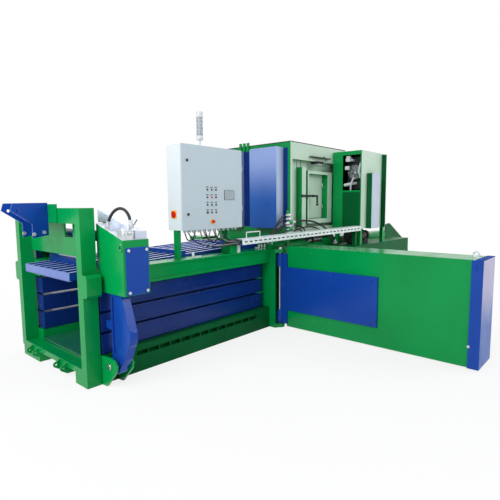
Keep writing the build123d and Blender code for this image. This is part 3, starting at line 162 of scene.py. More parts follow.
# %% [markdown]
# ## Machine enamel
# The steelwork is shot-blasted, primed and sprayed with two-pack enamel. A sprayed coat is
# smooth and glossy but never flat: it has a fine orange peel, and thick sheet under it waves a
# little, which bends reflections. Its tone drifts slowly where the film is thicker. The peel is
# really 3 mm wide; it is drawn 9 mm wide so that it survives at this distance.

# %% Enamel
def enamel(name, thick, thin, roughness=0.2, level=0.2):
    """Two film tones, a haze in the gloss, and a wave and a peel in the normal."""
    finish, tree, shader, place = start_finish(name, {"IOR": 1.5, "Specular IOR Level": level})
    film = add(tree, "TexNoise", {"Vector": place, "Scale": grain(700), "Detail": 4})["Fac"]
    share = add(tree, "MapRange", {"Value": film, **SPAN})["Result"]
    haze = add(tree, "TexNoise", {"Vector": place, "Scale": grain(260), "Detail": 3})["Fac"]
    tone_and_gloss(shader, share, (thick, thin), haze, roughness - 0.04, roughness + 0.08)

    wave = add(tree, "TexNoise", {"Vector": place, "Scale": grain(420), "Detail": 1})["Fac"]
    waved = add(tree, "Bump", {"Height": wave, "Strength": 0.35, "Distance": 0.006})["Normal"]
    peel = add(tree, "TexNoise", {"Vector": place, "Scale": grain(9), "Detail": 1})["Fac"]
    peeling = {"Height": peel, "Strength": 0.2, "Distance": 0.0003, "Normal": waved}
    fill(shader, {"Normal": add(tree, "Bump", peeling)["Normal"]})
    return finish


green_enamel = enamel("green enamel", "#008A42", "#00964B")
# painted shade: a darker copy of the green for parts and faces in shade
shaded_green_enamel = enamel("green enamel in painted shade", "#03522A", "#076032", 0.35, 0.06)
# painted sheen: a pale green for the faces that turn to the side light
green_sheen_enamel = enamel("green enamel with painted sheen", "#BAD2BF", "#C4D8C8", 0.35, 0.3)
blue_enamel = enamel("blue enamel", "#0E3E98", "#1547A3")
# painted shade: a darker copy of the blue for the side bands and the plate behind the hopper's box panels
shaded_blue_enamel = enamel("blue enamel in painted shade", "#0C2A70", "#12337C")
# painted sheen: a pale blue for blue faces that turn to the light
pale_blue_sheen_enamel = enamel("blue enamel with pale painted sheen", "#A9BADC", "#B6C4E2", 0.35, 0.3)
# painted sheen: a lighter blue for the flap's front strip, which faces the front light
periwinkle_sheen_enamel = enamel("blue enamel with periwinkle painted sheen", "#6478B8", "#6E82C0", 0.35, 0.3)
# painted sheen: a pale lavender for the roof and the near faces of the proud doors of the power pack
lavender_sheen_enamel = enamel("lavender grey enamel", "#B6C2D2", "#C0CAD9", 0.35, 0.3)
hood_enamel = enamel("hood grey enamel", "#CBD2E4", "#D3D9EA", 0.4, 0.2)
# painted shade: a matt, dark blue for the needle box cap, where the box's shaded inside shows
shaded_matt_blue_enamel = enamel("matt blue enamel", "#163C8C", "#1B4296", 0.6, 0.05)
print("enamels", sum("enamel" in finish.name for finish in bpy.data.materials))

# %% [markdown]
# ## Panels that mirror the sky
# Two panels face the brightest part of the surroundings: the boxes on the hopper and the end of
# the needle box. Their gloss shows it as a pale tint that fades downwards. The studio has no such
# sky, so the tint is part of the finish, between two heights in metres.

# %% Panels that mirror the sky
def sky_tinted(name, thick, thin, pale, low, high):
    """Blue enamel that turns pale from the height low to the height high."""
    finish = enamel(name, thick, thin, 0.3)
    tree = finish.node_tree
    shader = tree.nodes["Principled BSDF"]
    height = add(tree, "SeparateXYZ", {0: add(tree, "TexCoord")["Object"]})["Z"]
    reach = {"Value": height, "From Min": low, "From Max": high}
    paleness = add(tree, "MapRange", reach, interpolation_type="SMOOTHSTEP")["Result"]
    below = shader.inputs["Base Color"].links[0].from_socket
    tints = {0: paleness, 6: below, 7: linear(pale)}
    fill(shader, {"Base Color": add(tree, "Mix", tints, data_type="RGBA")[2]})
    print(name, "is pale above", high, "m")
    return finish


sky_reflection_enamel = sky_tinted("blue enamel with painted sky reflection", "#2460B8", "#2866BE", "#93A8DC", 1.75, 2.55)
end_reflection_enamel = sky_tinted("needle box end enamel with painted reflection", "#1F55A6", "#235BAC", "#ADA9C9", 0.4, 0.95)

# %% [markdown]
# ## Powder coat
# The control cabinet is a bought one in light grey powder coat. The powder melts into a
# skin with a fine leather grain, about 1 mm on the real door and 4 mm here, so it has a broad,
# soft shine in place of the enamel's mirror.

# %% Powder coat
def powder_coat(name, colour, warm):
    """Two greys, and a leather grain in the gloss and the normal."""
    finish, tree, shader, place = start_finish(name, {"IOR": 1.5, "Specular IOR Level": 0.3})
    drift = add(tree, "TexNoise", {"Vector": place, "Scale": grain(500), "Detail": 2})["Fac"]
    leather = add(tree, "TexVoronoi", {"Vector": place, "Scale": grain(4)})["Distance"]
    tone_and_gloss(shader, drift, (colour, warm), leather, 0.5, 0.6, {})
    bumped = add(tree, "Bump", {"Height": leather, "Strength": 0.15, "Distance": 0.0003})["Normal"]
    fill(shader, {"Normal": bumped})
    return finish


# painted light and shade: one grey powder coat in two copies, darker on the door, whose face takes less
# light, and lighter on the body, whose side takes more
shaded_grey_coat = powder_coat("light grey powder coat", "#B9C8D1", "#C1CED6")
lit_grey_coat = powder_coat("grey powder coat in painted light", "#DEE5E9", "#D9E0E5")
print("coats", shaded_grey_coat.name, "and", lit_grey_coat.name)

# %% [markdown]
# ## Bare and plated steel
# Rods, pins and knives are ground: the stone leaves fine streaks, and the metal mirrors softly.
# Bolts are bright zinc. The cable tray is dipped in molten zinc, which freezes in flat
# crystals; each crystal turns its own way and has its own grey, so a cell pattern gives the shade.
# The bales scour the channel floor half bright, and what is left of its green lies in the grooves.

# %% Steel finishes
def ground_steel(name, colour, dull, roughness, metal=1.0):
    """A smear of two tones, and streaks along X in the gloss."""
    finish, tree, shader, place = start_finish(name, {"Metallic": metal})
    smear = add(tree, "TexNoise", {"Vector": place, "Scale": grain(90), "Detail": 4})["Fac"]
    streak = (grain(40), grain(2), grain(2))
    drawn_out = add(tree, "Mapping", {"Vector": place, "Scale": streak})["Vector"]
    lines = add(tree, "TexNoise", {"Vector": drawn_out, "Scale": 1.0, "Detail": 2})["Fac"]
    tone_and_gloss(shader, smear, (colour, dull), lines, roughness - 0.06, roughness + 0.08)
    return finish


def dipped_zinc(name, bright, dull, metal):
    """Crystals 16 mm wide, each with its own grey and gloss."""
    finish, tree, shader, place = start_finish(name, {"Metallic": metal})
    crystals = add(tree, "TexVoronoi", {"Vector": place, "Scale": grain(16)})["Color"]
    shade = add(tree, "SeparateColor", {"Color": crystals})[0]
    tone_and_gloss(shader, shade, (bright, dull), shade, 0.36, 0.52, {})
    return finish


bright_steel = ground_steel("ground steel", "#C6C9CC", "#AEB2B6", 0.28)
scoured_steel = ground_steel("scoured steel", "#2C8767", "#1E6F52", 0.3, 0.35)
bright_zinc = dipped_zinc("bright zinc plate", "#D5D9DC", "#BEC4C8", 0.8)
galvanised = dipped_zinc("galvanised sheet", "#E9F1F2", "#C9D5D5", 0.2)
print("finishes so far", len(bpy.data.materials))

# %% [markdown]
# ## Rubber, plastic and glass
# Hoses have a matt rubber cover that shows the print of its wrapping cloth. Buttons, glands and
# the switch are moulded, with a satin skin. The lamps of the signal tower have clear ribbed
# caps. The little screen is smooth glass over a blank pale display.

# %% Rubber, plastic and glass
def moulded(name, colour, worn, roughness, grain_size, depth, level=0.35):
    """Two tones, and small grains in the gloss and the normal."""
    finish, tree, shader, place = start_finish(name, {"IOR": 1.5, "Specular IOR Level": level})
    drift = add(tree, "TexNoise", {"Vector": place, "Scale": grain(60), "Detail": 3})["Fac"]
    skin = add(tree, "TexNoise", {"Vector": place, "Scale": grain(grain_size), "Detail": 2})["Fac"]
    tone_and_gloss(shader, drift, (colour, worn), skin, roughness - 0.05, roughness + 0.06)
    bumped = add(tree, "Bump", {"Height": skin, "Strength": 0.25, "Distance": depth})["Normal"]
    fill(shader, {"Normal": bumped})
    return finish


hose_rubber = moulded("hose rubber", "#16181A", "#232629", 0.55, 3, 0.0003)
grey_plastic = moulded("grey plastic", "#6F787C", "#828B8E", 0.45, 5, 0.0002)
black_plastic = moulded("black moulded plastic", "#121417", "#1C1F23", 0.4, 2, 0.0001)
# painted shade: a near-black for the room behind the power pack's window
shadow_black = moulded("black painted shade", "#050607", "#0B0D0F", 0.8, 4, 0.0001, 0.05)
pale_plastic = moulded("light grey moulded plastic", "#C9CFD3", "#D6DBDE", 0.4, 2, 0.0001)
red_plastic = moulded("red moulded plastic", "#D21A12", "#DB2B1C", 0.25, 2, 0.0001)
yellow_plastic = moulded("yellow moulded plastic", "#EFB21C", "#F3BE35", 0.35, 2, 0.0001)
screen_glass = moulded("screen glass", "#9DAAB0", "#A6B2B7", 0.12, 40, 0.00005)

clear_cap = {"Base Color": linear("#A4ADB5"), "Roughness": 0.25, "Transmission Weight": 0.2, "IOR": 1.49}
lens_cap, tree, shader, place = start_finish("clear ribbed lens", clear_cap)
ribs = add(tree, "TexWave", {"Vector": place, "Scale": grain(70)}, bands_direction="Z")["Fac"]
ribbed = add(tree, "Bump", {"Height": ribs, "Strength": 0.6, "Distance": 0.001})["Normal"]
fill(shader, {"Normal": ribbed})
print("finishes", len(bpy.data.materials))

# %% [markdown]
# ## Finishes of the solids
# Most of the machine is green, and the other solids are listed by their finish. No real edge is
# perfectly sharp: plate is broken with a grinder and paint rounds it further, and that thin
# rounding catches the light. A Bevel modifier adds it without touching the solid's own mesh. The
# faces of a CAD solid come as separate sheets, which a bevel takes for open edges and leaves
# alone, so a Weld modifier joins their corners first. Then a planar Decimate takes the triangles
# of each flat face together: a bevel that runs into their thin tips, such as those between two
# holes, leaves creases.

# %% Finishes of the solids
others = {
    # painted shade: these parts lie in shade and take the darker copy of the green
    shaded_green_enamel: ("rear_frame", "main_cylinder", "ram", "needle_carriage", "oil_tank"),
    blue_enamel: (
        "housing_covers", "stay_bracket", "near_lever", "far_lever", "clamp_cylinder",
        "top_flap", "needle_box_panels", "hopper_front_panels",
    ),
    # painted shade: the side bands take the darker copy of the blue
    shaded_blue_enamel: ("near_bands", "far_bands"),
    # painted sheen: the hopper door faces the side and takes the pale green
    green_sheen_enamel: ("hopper_door",),
    # painted light and shade: the lighter grey copy on the body, the darker grey copy on the door
    lit_grey_coat: ("cabinet_body",),
    shaded_grey_coat: ("cabinet_door",),
    bright_steel: ("pivot_pins", "fixed_knife", "ram_knife", "clamp_rod", "needles"),
    bright_zinc: ("frame_bolts", "valve_block"),
    scoured_steel: ("channel_floor",),
    galvanised: ("cable_tray",),
    hood_enamel: ("cylinder_guard",),
    black_plastic: (
        "hopper_latch", "oil_cooler", "motor_pump", "door_controls", "start_button", "reset_button",
        "mode_selector", "upper_door_lock", "lower_door_lock",
    ),
    red_plastic: ("stop_button", "emergency_stop", "main_switch"),
    pale_plastic: ("stack_light",),
    lens_cap: ("stack_light_lenses",),
}
fine_nodes = {
    "door_controls", "start_button", "stop_button", "reset_button", "emergency_stop", "mode_selector",
    "upper_door_lock", "lower_door_lock", "main_switch", "frame_bolts", "cable_tray", "oil_cooler", "needles",
}

finish_of = {name: finish for finish, names in others.items() for name in names}
for name in sorted(nodes.keys() - {"arch_hose", "loop_hose", "supply_hose"}):
    solid = nodes[name]
    solid.data.materials.clear()
    solid.data.materials.append(finish_of.get(name, green_enamel))
    joined_corners = solid.modifiers.new("joined corners", "WELD")
    joined_corners.merge_threshold = 0.00002
    whole_faces = solid.modifiers.new("whole faces", "DECIMATE")
    whole_faces.decimate_type = "DISSOLVE"
    whole_faces.angle_limit = math.radians(0.3)
    broken_edge = solid.modifiers.new("broken edge", "BEVEL")
    broken_edge.width = 0.001 if name in fine_nodes else 0.004
    broken_edge.segments = 2
    broken_edge.angle_limit = math.radians(40)
    broken_edge.harden_normals = True
print(len(nodes) - 3 - len(finish_of), "solids in green and", len(finish_of), "in other finishes")

# %% [markdown]
# ## Faces in a second colour
# Some parts are masked and sprayed in two colours, or are plates of another colour fused into one
# solid. On other parts the second colour is painted light and shade: a pale painted sheen on faces
# that turn to the light, a painted sky reflection, and a darker green and a black as painted shade.
# The faces of a solid are picked by where their middle lies and which way they face, both read as
# whole arrays, and get the number of the second finish. The bars of the top flap lie so flat to the
# eye that their gloss mirrors only sky, so their tops are painted pale.

# %% Second colours
def repaint(name, finish, rule):
    """Faces of a solid for which rule(middles in metres, normals) holds take another finish."""
    mesh = nodes[name].data
    faces = mesh.polygons
    middles, normals = np.empty((2, len(faces) * 3))
    slots = np.empty(len(faces), int)
    faces.foreach_get("center", middles)
    faces.foreach_get("normal", normals)
    faces.foreach_get("material_index", slots)
    mesh.materials.append(finish)
    picked = rule(middles.reshape(-1, 3).T, normals.reshape(-1, 3).T)
    slots[picked] = len(mesh.materials) - 1
    faces.foreach_set("material_index", slots)
    print(name, finish.name, int(picked.sum()), "faces")


def within(box, m):
    """True where X, Y and Z of a middle all lie between the box's pairs of bounds."""
    low, high = np.array(box).T[:, :, None]
    return ((m > low) & (m < high)).all(axis=0)


MOSTLY, SQUARELY = 0.7, 0.9  # how much of a face's normal points the named way

# the hopper: its side walls in a pale painted sheen, the work lamp, and the two box panels with a
# painted sheen on their near sides and a painted sky reflection on their fronts
repaint("hopper_shell", green_sheen_enamel, lambda m, n: (abs(n[1]) > MOSTLY) & (abs(m[1]) > 0.68))
repaint("hopper_shell", black_plastic, lambda m, n: (m[1] < -0.801) & (m[2] > 2.3))
repaint("hopper_front_panels", pale_blue_sheen_enamel, lambda m, n: n[1] < -MOSTLY)
repaint("hopper_front_panels", sky_reflection_enamel, lambda m, n: n[0] < -MOSTLY)
# the top of the near housing under the hood, and the tops of the flap's bars in a pale painted sheen
repaint("clamp_housings", hood_enamel, lambda m, n: (n[2] > SQUARELY) & (m[1] < 0))
repaint("top_flap", pale_blue_sheen_enamel, lambda m, n: (n[2] > SQUARELY) & (m[2] < 1.205))
# the end of the needle box with its painted sky reflection, its lifting eye and the lowest bolt of its end
# cap
repaint("needle_box", end_reflection_enamel, lambda m, n: n[1] < -SQUARELY)
repaint("needle_box", bright_zinc, lambda m, n: m[2] > 1.181)
repaint("needle_box_panels", end_reflection_enamel, lambda m, n: (n[1] < -SQUARELY) & (m[1] < -3.5))
low_bolt = ((-np.inf, -2.614), (-np.inf, -3.3), (-np.inf, 0.6))
repaint("needle_box_panels", bright_zinc, lambda m, n: within(low_bolt, m))
# the lower beam on the near side, behind the portal, in a darker green as painted shade
near_beam = ((PORTAL_X + 0.2, np.inf), (-np.inf, -0.6), (-np.inf, 0.45))
repaint("base_frame", shaded_green_enamel, lambda m, n: within(near_beam, m))
# the power pack: a painted sheen on its near side, on the doors that stand proud of it and on the
# roof, painted shade on the edges that face the portal, and black painted shade in the room behind the window
side, doors, roof, door_edge, window_edge = -1.32, -1.42, 2.62, -1.332, -1.008
room = ((-1.005, -0.079), (-1.3215, -0.8145), (1.3695, 2.6205))
repaint("power_pack_cabinet", green_sheen_enamel, lambda m, n: (n[1] < -MOSTLY) & (m[1] < side))
repaint("power_pack_cabinet", lavender_sheen_enamel, lambda m, n: (
    (n[1] < -MOSTLY) & (m[1] < doors) | (n[2] > MOSTLY) & (m[2] > roof)
))
repaint("power_pack_cabinet", shaded_green_enamel, lambda m, n: (
    (n[0] < -MOSTLY) & ((m[1] < door_edge) | (abs(m[0] - window_edge) < 0.001))
))
repaint("power_pack_cabinet", shadow_black, lambda m, n: within(room, m))
# the controls on the cabinet door: the screen, and the yellow plate of the lowest switch
repaint("door_controls", screen_glass, lambda m, n: (n[1] < -MOSTLY) & (m[0] > -3.66))
repaint("door_controls", yellow_plastic, lambda m, n: m[2] < 1.61)

# %% [markdown]
# ## Surfaces from grids
# A turned knob, a rounded plate or a bent rod is one surface: a grid of points in which each row
# is a closed loop round the piece and the rows follow each other along it. Numpy works out the
# whole grid at once. Neighbouring rows are joined by quads; the two ends get a flat cap, or the last
# row joins the first where the piece closes on itself.

# %% Grids into pieces
def loop_faces(rows, columns, first, closed):
    """Quads between neighbouring closed rows of a grid, and two end caps unless the rows close too."""
    row = np.arange(rows if closed else rows - 1)[:, None]
    column = np.arange(columns)
    here, there = row * columns, (row + 1) % rows * columns
    beside = (column + 1) % columns
    quads = np.stack([here + column, here + beside, there + beside, there + column], axis=-1) + first
    ends = [] if closed else [np.arange(columns)[::-1], np.arange(columns) + (rows - 1) * columns]
    return [*quads.reshape(-1, 4).tolist(), *((end + first).tolist() for end in ends)]


def make_piece(name, grids, finish, body="frame", closed=False, flat=False):
    """One mesh from several grids, on one body, with merged doubles and faces that point out."""
    faces, first = [], 0
    for grid in grids:
        faces += loop_faces(grid.shape[0], grid.shape[1], first, closed)
        first += grid.shape[0] * grid.shape[1]
    mesh = bpy.data.meshes.new(name)
    mesh.from_pydata(np.concatenate([grid.reshape(-1, 3) for grid in grids]).tolist(), [], faces)
    work = bmesh.new()
    work.from_mesh(mesh)
    bmesh.ops.remove_doubles(work, verts=work.verts, dist=1e-6)
    bmesh.ops.dissolve_degenerate(work, edges=work.edges, dist=1e-7)
    bmesh.ops.recalc_face_normals(work, faces=work.faces)
    work.to_mesh(mesh)
    work.free()
    if flat:
        mesh.shade_flat()
    else:
        mesh.shade_smooth()
        mesh.set_sharp_from_angle(angle=math.radians(35))
    mesh.materials.append(finish)
    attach(stand(name, mesh), body)
    print(name, len(mesh.polygons), "faces on", body)


print("3 rows of 8 points make", len(loop_faces(3, 8, 0, False)), "faces")

# %% [markdown]
# Four formulas cover nearly all the fittings. A turned piece spins a profile of radius and height
# about an axis. A rounded block carries a rectangle with round corners through four levels, drawn
# in at both ends so that no edge is sharp. A carried section is moved along a path and stays
# square to it. And a bent path replaces each corner by a curve, as a bender does with a bar.

# %% Turned, rounded, carried and bent
def full_turn(count):
    """Angles that share a full turn evenly."""
    return np.linspace(0, 2 * np.pi, count, endpoint=False)


def turned(profile, place, axis, sides=20):
    """place + radius * (cos t * a + sin t * b) + height * axis for each (radius, height) and angle t,
    with a and b square to the axis."""
    radius, height = np.array(profile, float).T[:, :, None, None]
    along = np.asarray(axis, float) / np.linalg.norm(axis)
    a = np.cross(along, np.eye(3)[np.argmin(abs(along))])
    a /= np.linalg.norm(a)
    angle = full_turn(sides)[None, :, None]
    ring = np.cos(angle) * a + np.sin(angle) * np.cross(along, a)
    return at(np.asarray(place, float) + radius * ring + height * along)


def rounded(stations, offsets, heights, axis=2, corner=5.0, edge=1.5, steps=3):
    """A block between three pairs of values. Its outline, square to the axis, is
    reach * sign(turn) + (corner - drawn in) * turn for each unit turn."""
    spans = np.array([stations, offsets, heights], float)
    i, j, k = (axis + 1) % 3, (axis + 2) % 3, axis
    middle, half = spans.mean(axis=1), np.ptp(spans, axis=1) / 2
    corner = min(corner, half[i], half[j])
    edge = min(edge, corner / 2)
    angle = (np.arange(4 * steps) + 0.5) * np.pi / (2 * steps)
    turn = np.stack([np.cos(angle), np.sin(angle)], axis=-1)
    drawn = np.array([edge, 0, 0, edge])[:, None, None]
    outline = np.sign(turn) * (half[[i, j]] - corner) + (corner - drawn) * turn
    points = np.empty((4, 4 * steps, 3))
    points[..., i] = middle[i] + outline[..., 0]
    points[..., j] = middle[j] + outline[..., 1]
    points[..., k] = (middle[k] + half[k] * np.array([-1, -1, 1, 1]) + np.array([0, edge, -edge, 0]))[:, None]
    return at(points)


def carried(section, path, above):
    """Each point of the path + across * side + up * top, where side is square to the path and to
    above, and top to both."""
    path = np.asarray(path, float)
    step = np.gradient(path, axis=0)
    step /= np.linalg.norm(step, axis=1, keepdims=True)
    side = np.cross(step, above)
    side /= np.linalg.norm(side, axis=1, keepdims=True)
    top = np.cross(side, step)
    section = np.asarray(section, float)
    return at(path[:, None] + section[None, :, :1] * side[:, None] + section[None, :, 1:] * top[:, None])


def bent(points, radius, steps=6):
    """Each inner corner gives way to (1 - t)^2 * before + 2t(1 - t) * corner + t^2 * after, with
    before and after a radius away from it."""
    points = np.asarray(points, float)
    corner = points[1:-1, None]
    back, on = points[:-2, None] - corner, points[2:, None] - corner
    before = corner + radius * back / np.linalg.norm(back, axis=-1, keepdims=True)
    after = corner + radius * on / np.linalg.norm(on, axis=-1, keepdims=True)
    t = np.linspace(0, 1, steps)[None, :, None]
    curve = (1 - t) ** 2 * before + 2 * t * (1 - t) * corner + t ** 2 * after
    return np.concatenate([points[:1], curve.reshape(-1, 3), points[-1:]])


def circle(radius, sides=12):
    """Points radius * (cos t, sin t) of a round section."""
    angle = full_turn(sides)
    return radius * np.stack([np.cos(angle), np.sin(angle)], axis=-1)


def bar(width, height):
    """The four corners of a flat bar's section, counted round."""
    return np.array([(-1, -1), (1, -1), (1, 1), (-1, 1)]) * (width / 2, height / 2)


print("a turned ring has", turned([(1, 0)], (0, 0, 0), (0, 0, 1)).shape[1], "points")

# %% [markdown]
# ## Hoses and cables
# A hydraulic hose is a fixed length of stiff rubber that springs from its fittings in a smooth
# bow, and a cable is softer and hangs in a bight. Both are NURBS curves of order three, pinned to
# their first and last points: such a curve has no kinks, and its thickness is a single number.
# Two large hoses follow the same points as their solids and have their length. The arch and the
# others are bent as in the picture, and the curve itself tells how long they are.

# %% A hose or cable from its route
def run_hose(name, route, diameter, finish, length=None, solid=None):
    """A NURBS curve of order 3 drawn by the route's points, in millimetres, with a round section."""
    curve = bpy.data.curves.new(name, "CURVE")
    curve.dimensions = "3D"
    curve.bevel_depth = diameter / 2000
    curve.bevel_resolution = 4
    curve.resolution_u = 12
    curve.use_fill_caps = True
    spline = curve.splines.new("NURBS")
    points = at(route)
    spline.points.add(len(points) - 1)
    spline.points.foreach_set("co", np.c_[points, np.ones(len(points))].ravel())
    spline.order_u = 3
    spline.use_endpoint_u = True
    curve.materials.append(finish)
    hose = stand(name, curve)
    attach(hose, "frame")
    if solid:
        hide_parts(solid)
    length = length or spline.calc_length()
    print(name, "is", round(length, 3), "m long")


arch = [
    (190, -945, 1552), (196, -962, 1618), (208, -994, 1684), (232, -1027, 1729), (256, -1076, 1748),
    (280, -1119, 1730), (294, -1155, 1685), (299, -1174, 1620), (300, -1180, 1563),
]
loop = [
    (3250, -850, 1500), (3390, -858, 1514), (3570, -870, 1520), (3770, -885, 1500), (3960, -905, 1440),
    (4140, -925, 1345), (4290, -940, 1230), (4375, -950, 1115),
]
supply = [(3170, -850, 1500), (3040, -846, 1470), (2920, -836, 1400), (2830, -800, 1310), (2805, -738, 1215)]
run_hose("arch_hose_run", arch, 28, hose_rubber, None, "arch_hose")
run_hose("loop_hose_run", loop, 28, hose_rubber, 1.258, "loop_hose")
run_hose("supply_hose_run", supply, 28, hose_rubber, 0.516, "supply_hose")

# %% [markdown]
# ## Manifold and terminal box
# Under the hopper hangs a black manifold, where most of the thin hoses end. It carries solenoid
# valves: square coils with a round cap on each. The terminal box beside the cable tray is
# moulded, with a lid that stands a little proud.

# %% Manifold and terminal box
coil_stations = (3925, 3975)
coil_cap = [(15, 0), (15, 10), (12, 13), (12, 22), (6, 25)]
manifold = [rounded((3752, 4008), (-905, -790.4), (1168, 1262), 0, 8, 3)]
manifold += [rounded((s - 19, s + 19), (-890, -830), (1262, 1326), 2, 6, 2) for s in coil_stations]
manifold += [turned(coil_cap, (s, -860, 1326), (0, 0, 1)) for s in coil_stations]
manifold += [turned([(13, -12), (13, 8), (11, 10)], (3798, -866, 1272), (0, 0, 1), 6)]
make_piece("valve_manifold", manifold, black_plastic)

port, stud = [(13, 0), (13, 5), (10, 8), (5, 8.5)], [(14, -8), (14, 6), (12, 8)]
plugs = [turned(port, (s, -905, 1215), (0, -1, 0), 6) for s in (3790, 3850, 3910, 3970)]
plugs += [turned(stud, (s, y, 1148), (0, 0, 1), 6) for s, y in ((2728, -750), (2664, -748), (2604, -748))]
plugs += [turned([(14, -8), (14, 8), (12, 10)], (2868, -770, 1206), (0, 0, 1), 6)]
plugs += [turned([(14, -30), (14, 2), (12, 4)], (4352, -930, 1102), (-1, 0, 0.1), 6)]
make_piece("port_plugs", plugs, bright_zinc)

terminal_box = [
    rounded((2028, 2162), (-772, -702), (1245.4, 1302), 2, 10, 3),
    rounded((2024, 2166), (-776, -698), (1302, 1316), 2, 12, 3),
]
make_piece("terminal_box", terminal_box, black_plastic)

# %% [markdown]
# ## The bundle at the hose bracket
# Beside the two large hoses a bundle of thinner ones passes through unions on the same bracket:
# to the left they drop to the top beam, to the right they curve down to a black manifold under
# the hopper.

# %% Thin hoses
union_levels = (1610, 1555, 1450, 1345, 1295)
thin_runs = {
    "upper_left_hose": [
        (3166, -832, 1610), (3085, -834, 1606), (2975, -834, 1550), (2890, -822, 1450), (2800, -790, 1300),
        (2735, -758, 1215), (2728, -750, 1166),
    ],
    "second_left_hose": [
        (3166, -832, 1555), (3075, -834, 1550), (2950, -830, 1490), (2850, -812, 1390), (2745, -780, 1280),
        (2672, -755, 1215), (2664, -748, 1166),
    ],
    "third_left_hose": [
        (3166, -832, 1450), (3070, -834, 1444), (2950, -832, 1400), (2840, -815, 1330), (2720, -785, 1270),
        (2614, -758, 1225), (2604, -748, 1166),
    ],
    "lower_left_hose": [
        (3170, -850, 1400), (3090, -850, 1392), (3000, -845, 1340), (2930, -830, 1290), (2885, -795, 1255),
        (2868, -770, 1222),
    ],
    "upper_right_hose": [
        (3254, -832, 1450), (3345, -838, 1462), (3460, -850, 1448), (3560, -860, 1390), (3620, -866, 1290),
        (3668, -868, 1215), (3734, -868, 1200),
    ],
    "second_right_hose": [
        (3250, -850, 1400), (3350, -853, 1406), (3470, -858, 1380), (3600, -858, 1300), (3680, -832, 1205),
        (3734, -814, 1178),
    ],
    "third_right_hose": [
        (3254, -832, 1295), (3330, -838, 1298), (3440, -846, 1280), (3550, -852, 1235), (3650, -848, 1200),
        (3734, -841, 1188),
    ],
    "tank_hose": [
        (3254, -832, 1345), (3350, -838, 1375), (3500, -850, 1410), (3680, -862, 1420), (3860, -876, 1400),
        (4020, -892, 1335), (4160, -908, 1240), (4280, -922, 1150), (4352, -930, 1105),
    ],
}
for name, route in thin_runs.items():
    run_hose(name, route, 20, hose_rubber)

# %% [markdown]
# ## Hose ends
# A hose ends in a swivel nut and a ferrule that a press has crimped onto the rubber in rings.
# The nut is a turned profile with only six sides, the ferrule one with twenty. Both point along
# the first stretch of their hose, so the same two profiles serve every end.

# %% Nuts and ferrules
nut = np.array([(15, 0), (17, 2), (17, 17), (15, 19)])
ferrule = np.array([
    (11, 18), (14, 20), (14, 27), (12.6, 28.5), (12.6, 31), (14, 32.5), (14, 39), (12.6, 40.5), (12.6, 43),
    (14, 44.5), (14, 52), (11.4, 54),
])


def hose_ends(routes, size):
    """A nut and a ferrule, grown by size, at both ends of each route, along its end stretch."""
    ends = []
    for route in routes:
        for way in (route, route[::-1]):
            start, second = np.array(way[:2], float)
            axis = second - start
            ends += [turned(nut * size, start, axis, 6), turned(ferrule * size, start, axis)]
    return ends


make_piece("large_hose_ends", hose_ends((arch, loop, supply), 1.4), bright_zinc)
make_piece("thin_hose_ends", hose_ends(thin_runs.values(), 0.85), bright_zinc)

# %% [markdown]
# A union is one turned part: a stub, a hexagon, a round waist, and the same again. The waist sits
# in a small clamp block on the bracket. Stubs without a hose are closed by a cap.

# %% Unions on the bracket
waist = [(11, -46), (12.5, -44), (12.5, -24), (18, -22), (18, 22), (12.5, 24), (12.5, 44), (11, 46)]
cap = [(14, 0), (17, 2), (17, 20), (12, 26)]
unions = [turned(waist, (3210, -832, level), (1, 0, 0)) for level in union_levels]
clamps = [rounded((3190, 3230), (-852, -812.3), (level - 20, level + 20), 0) for level in union_levels]
caps = [turned(cap, (3254, -832, level), (1, 0, 0), 6) for level in union_levels[:2]]
caps += [turned(cap, (3166, -832, level), (-1, 0, 0), 6) for level in union_levels[3:]]
make_piece("bulkhead_unions", unions + caps, bright_zinc)
make_piece("union_clamps", clamps, galvanised)

# %% [markdown]
# ## Cables of the control cabinet
# Every cable leaves the cabinet through a gland, a plastic nut that grips its sheath, and drops in
# a bight. All of them pass in front of the post, go into the open end of the cable tray and
# run in it side by side up to the wall of the power pack. The nearer the tray, the smaller the drop.

# %% Glands and cables
gland = [(15, -4), (20, -2), (20, 8), (17, 10), (17, 20), (14, 30), (9, 36)]
gland_stations = np.array([1322, 1404, 1486, 1568, 1650, 1732, 1814, 1896, 1978, 2120])
glands = [turned(gland, (s, y, 1480), (0, 0, -1), 12) for s in gland_stations for y in (-762, -700)]
make_piece("cable_glands", glands, pale_plastic)

tray_line = np.array([(2150, -800, 1272), (4455, -1288, 1362)], float)
lanes = np.linspace(-44, 44, 6)


def cable_route(start, lane, drop):
    """From a gland down into a bight of the given drop, in front of the post, and along a lane of
    the tray to the power pack."""
    share = np.array([0, 0.03, 0.14, 0.42, 0.74])
    low = np.array([0, -45, -45 - 0.55 * drop, -45 - drop, -60 - 0.85 * drop])
    front = np.array([0, 0, -12, -30, -40])
    hang = np.c_[start + share * (tray_line[0, 0] - start), -762 + front, 1454 + low]
    along = np.array([0.03, 0.2, 0.4, 0.6, 0.8, 1.0])[:, None]
    inside = tray_line[0] + along * (tray_line[1] - tray_line[0]) + (0, lane, 0)
    wall = [(4490, *inside[-1, 1:])]
    return np.concatenate([hang, inside, wall])


labels = ("first", "second", "third", "fourth", "fifth", "sixth")
drops = (165, 150, 130, 118, 108, 98)
for label, start, lane, drop in zip(labels, gland_stations[[0, 1, 3, 5, 6, 7]], lanes, drops):
    finish = grey_plastic if label in ("second", "fifth") else hose_rubber
    route = cable_route(start, lane, drop)
    run_hose(f"{label}_cable", route, 14, finish)

# %% [markdown]
# Between the rear glands short loops go from one part of the cabinet floor to another. Each hangs
# from two glands in a bow with steep ends and a flat bottom: one minus a fourth power.

